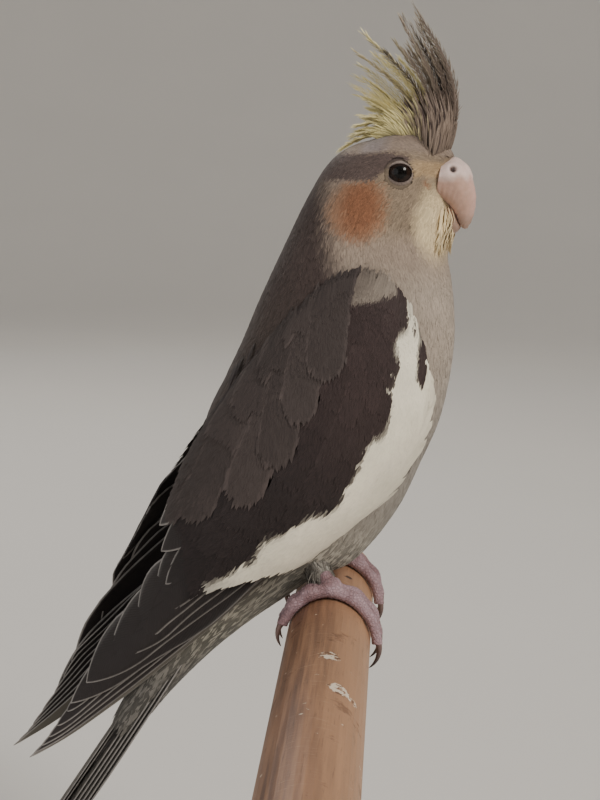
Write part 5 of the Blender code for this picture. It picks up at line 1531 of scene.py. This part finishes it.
def footPaint():
    # Small scales, paler on their middles, darker and dustier between.
    paint = Finish("footScales")
    far = paint.cells(1.0, paint.place((1100.0, 700.0, 1100.0)), "Distance", "DISTANCE_TO_EDGE")
    scale = paint.range(far, 0.02, 0.22)
    fine = paint.noise(1500.0, 3.0)
    cloud = paint.noise(180.0, 3.0)
    colour = paint.mix(paint.range(cloud, 0.35, 0.65), srgb(146, 116, 120), srgb(176, 148, 155))
    colour = paint.brighten(colour, 0.62 + scale * 0.20 + fine * 0.30)
    return paint.done({
        "Base Color": colour,
        "Roughness": 0.62 - scale * 0.14 + fine * 0.1,
        "Normal": paint.bump(scale + fine * 0.3, 0.6, 0.00025),
        "Subsurface Weight": 0.10,
        "Subsurface Radius": (0.002, 0.001, 0.0008),
        "Specular IOR Level": 0.4,
    })


def clawPaint():
    # Brown at the toe to nearly black below, with fine lines along.
    paint = Finish("clawHorn")
    low = paint.range(paint.parts(paint.place(), "Z"), 0.126, 0.137)
    lines = paint.noise(1.0, 4.0, 0.6, paint.place((2600.0, 2600.0, 500.0)))
    colour = paint.mix(low, srgb(40, 34, 34), srgb(116, 92, 86))
    return paint.done({
        "Base Color": paint.brighten(colour, 0.75 + lines * 0.5),
        "Roughness": 0.30 + lines * 0.25,
        "Normal": paint.bump(lines, 0.4, 0.0001),
        "Specular IOR Level": 0.5,
    })


# Perch and stand
perch = {
    "chips": (((0.0018, -0.0072, 0.1459), 0.0042), ((0.0052, -0.0285, 0.1446), 0.0044),
              ((0.0085, -0.0300, 0.1425), 0.0030)),
    "crack": (0.0045, 0.0655, 0.1451),
}


def perchWood():
    # Worn dowel: grain drawn out along it, painted light on the side toward the key lamp, fine scratches round
    # and along, pale chips where the surface is knocked off, and one short dark crack.
    paint = Finish("perchWood")
    grain = paint.noise(1.0, 5.0, 0.6, paint.place((620.0, 26.0, 620.0)))
    broad = paint.noise(1.0, 3.0, 0.5, paint.place((120.0, 16.0, 120.0)))
    pores = paint.noise(1.0, 2.0, 0.5, paint.place((1900.0, 130.0, 1900.0)))
    scratch = paint.noise(1.0, 3.0, 0.7, paint.place((160.0, 1500.0, 160.0)))
    ragged = paint.noise(900.0, 3.0)
    worn = paint.range(paint.noise(210.0, 4.0, 0.6), 0.70, 0.73)
    broken = paint.noise(620.0, 3.0, 0.6)
    dents = 0.0
    for place, size in perch["chips"]:
        close = 1.0 - paint.range(paint.apart(place) + ragged * 0.0030, size, size + 0.0004)
        worn = worn + close * paint.range(broken, 0.47, 0.50)
        dents = close * paint.range(broken, 0.44, 0.40) + dents
    bitten = paint.range(paint.noise(95.0, 4.0, 0.65), 0.60, 0.68)
    crack = 1.0 - paint.range(paint.apart(perch["crack"]) + ragged * 0.0018, 0.0016, 0.0024)
    # Painted light: the +x side of the dowel, toward the key lamp, is painted paler below.
    side = paint.range(paint.parts(paint.place(), "X"), -0.006, 0.011)
    colour = paint.mix(paint.range(broad, 0.3, 0.7), srgb(100, 70, 55), srgb(140, 100, 75))
    colour = paint.mix(paint.range(grain, 0.35, 0.72), colour, srgb(156, 116, 88))
    colour = paint.mix(side * 0.70, colour, srgb(188, 146, 112))
    colour = paint.mix(bitten * 0.5, colour, srgb(84, 56, 44))
    colour = paint.mix(paint.range(scratch, 0.60, 0.74) * 0.30, colour, srgb(206, 176, 150))
    colour = paint.mix(dents * 0.7, colour, srgb(70, 46, 34))
    colour = paint.mix(worn * 0.85, colour, srgb(236, 222, 202))
    colour = paint.mix(crack * 0.9, colour, srgb(36, 24, 20))
    colour = paint.brighten(colour, 0.84 + grain * 0.22 - paint.range(pores, 0.60, 0.75) * 0.25)
    height = grain * 0.5 + scratch * 0.4 - worn * 0.8 - pores * 0.2 - crack * 2.0 - bitten * 0.5
    return paint.done({
        "Base Color": colour,
        "Roughness": 0.42 + grain * 0.14 + worn * 0.25 + bitten * 0.1,
        "Normal": paint.bump(height, 0.5, 0.00025),
        "Specular IOR Level": 0.45,
    })


def brushedSteel():
    # Round brushing: noise squeezed along the rod, so that its lines run across it.
    paint = Finish("brushedSteel")
    brush = paint.noise(1.0, 4.0, 0.6, paint.place((90.0, 90.0, 5200.0)))
    cloud = paint.noise(40.0, 3.0)
    colour = paint.brighten(srgb(188, 189, 191), 0.82 + brush * 0.22 + cloud * 0.08)
    return paint.done({
        "Base Color": colour,
        "Metallic": 1.0,
        "Roughness": 0.26 + brush * 0.16 + cloud * 0.06,
        "Normal": paint.bump(brush, 0.25, 0.00004),
    })


def paintedBoard():
    # Satin dark paint over board: a faint orange-peel skin, brush drag and rubbed spots.
    paint = Finish("paintedBoard")
    peel = paint.noise(620.0, 2.0)
    drag = paint.noise(1.0, 3.0, 0.6, paint.place((26.0, 700.0, 700.0)))
    cloud = paint.noise(22.0, 4.0)
    rubbed = paint.range(paint.noise(70.0, 5.0, 0.7), 0.66, 0.74)
    colour = paint.mix(cloud, srgb(40, 40, 43), srgb(54, 53, 55))
    colour = paint.mix(rubbed * 0.25, colour, srgb(96, 92, 88))
    return paint.done({
        "Base Color": paint.brighten(colour, 0.9 + drag * 0.2),
        "Roughness": 0.36 + cloud * 0.12 + rubbed * 0.15,
        "Normal": paint.bump(peel * 0.6 + drag * 0.7, 0.3, 0.00012),
        "Coat Weight": 0.15 + cloud * 0.1,
        "Coat Roughness": 0.3,
    })


def dressNode(name, material):
    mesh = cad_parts[name].data
    if not mesh.materials:
        mesh.materials.append(material)
    for i in range(len(mesh.materials)):
        mesh.materials[i] = material


# Floor, camera and lights
def makeFloor():
    # A pale dish: flat near the stand, then a quarter circle up to a wall all round.
    paint = Finish("floor")
    grain = paint.noise(6.0, 2.0)
    paint.done({"Base Color": paint.brighten(srgb(222, 218, 212), 0.97 + grain * 0.05), "Roughness": 0.75})
    turn = np.radians(np.linspace(0, 90, 24))
    reach = np.concatenate([np.linspace(0.02, 1.6, 12), 1.6 + 1.2 * np.sin(turn[1:]), [2.8, 2.8]])
    height = np.concatenate([np.zeros(12), 1.2 - 1.2 * np.cos(turn[1:]), [2.2, 3.2]])
    around = 2 * np.pi * np.arange(96) / 96
    points = np.stack([reach[:, None] * np.cos(around), reach[:, None] * np.sin(around),
                       height[:, None] + 0 * around], axis=-1).reshape(-1, 3)
    faces = gridFaces(len(reach), 96, True)[:, ::-1]
    mesh = bpy.data.meshes.new("floor")
    mesh.from_pydata(points.tolist() + [(0, 0, 0)], [], faces.tolist()
                     + [(len(points), j, (j + 1) % 96) for j in range(96)])
    mesh.shade_smooth()
    mesh.materials.append(paint.material)
    floor = bpy.data.objects.new("floor", mesh)
    bpy.context.scene.collection.objects.link(floor)


view = {
    "place": (0.01398, -0.41215, 0.28856),
    "forward": (-0.05332, 0.98132, -0.18486),
    "right": (0.99757, 0.06066, 0.03430),
    "lens": 74.25,
}


def makeCamera():
    forward = np.array(view["forward"])
    right = np.array(view["right"])
    up = np.cross(right, forward)
    camera = bpy.data.objects.new("camera", bpy.data.cameras.new("camera"))
    camera.matrix_world = Matrix([[right[i], up[i], -forward[i], view["place"][i]] for i in range(3)] + [[0, 0, 0, 1]])
    camera.data.lens = view["lens"]
    camera.data.sensor_width = 36.0
    camera.data.sensor_fit = "AUTO"
    camera.data.clip_start = 0.01
    bpy.context.scene.collection.objects.link(camera)
    bpy.context.scene.camera = camera


lights = {
    "key": {"place": (0.95, -0.75, 1.15), "size": 0.55, "power": 18.0, "colour": (1.0, 0.95, 0.88)},
    "fill": {"place": (-0.9, -1.0, 0.5), "size": 1.4, "power": 4.5, "colour": (0.93, 0.96, 1.0)},
    "back": {"place": (-0.4, 1.0, 0.9), "size": 0.8, "power": 4.0, "colour": (1.0, 0.98, 0.95)},
}


def makeLights():
    for name, spec in lights.items():
        lamp = bpy.data.lights.new(name, "AREA")
        lamp.shape = "DISK"
        lamp.energy = spec["power"]
        lamp.size = spec["size"]
        lamp.color = spec["colour"]
        holder = bpy.data.objects.new(name, lamp)
        holder.location = spec["place"]
        holder.rotation_euler = (Vector((0.0, 0.04, 0.2)) - Vector(spec["place"])).to_track_quat("-Z", "Y").to_euler()
        bpy.context.scene.collection.objects.link(holder)
    world = bpy.data.worlds.new("studio")
    bpy.context.scene.world = world
    world.use_nodes = True
    sky = world.node_tree.nodes["Background"]
    sky.inputs["Color"].default_value = (0.80, 0.80, 0.80, 1.0)
    sky.inputs["Strength"].default_value = 0.58


print("materials")
softFeathers, covertFeathers = plumage("soft"), plumage("covert")
flightFeathers, crestFeathers = plumage("flight"), plumage("crest")
skinFinish = bareSkin()

print("skin and coat")
makeSkin(skinFinish)
makeCoat(softFeathers)
print("wings")
makeWing(-1, "wing_right", "wingRight", covertFeathers, flightFeathers, skinFinish)
makeWing(1, "wing_left", "wingLeft", covertFeathers, flightFeathers, skinFinish)
print("tail and crest")
makeTail(flightFeathers, softFeathers)
makeCrest(crestFeathers)
print("bill, chin and eyes")
horn = billPaint()
billPiece("billUpper", "bill_upper", "upper", horn)
billPiece("billLower", "bill_lower", "lower", horn)
makeChin(crestFeathers)
makeEyes(eyePaint(), lidPaint())
print("legs and feet")
makeLegs(softFeathers, skinFinish)
makeFeet(footPaint(), clawPaint())
print("perch and stand")
dressNode("perch", perchWood())
dressNode("stand_base", paintedBoard())
steel = brushedSteel()
dressNode("stand_rod_near", steel)
dressNode("stand_rod_far", steel)
print("floor, camera and lights")
makeFloor()
makeCamera()
makeLights()
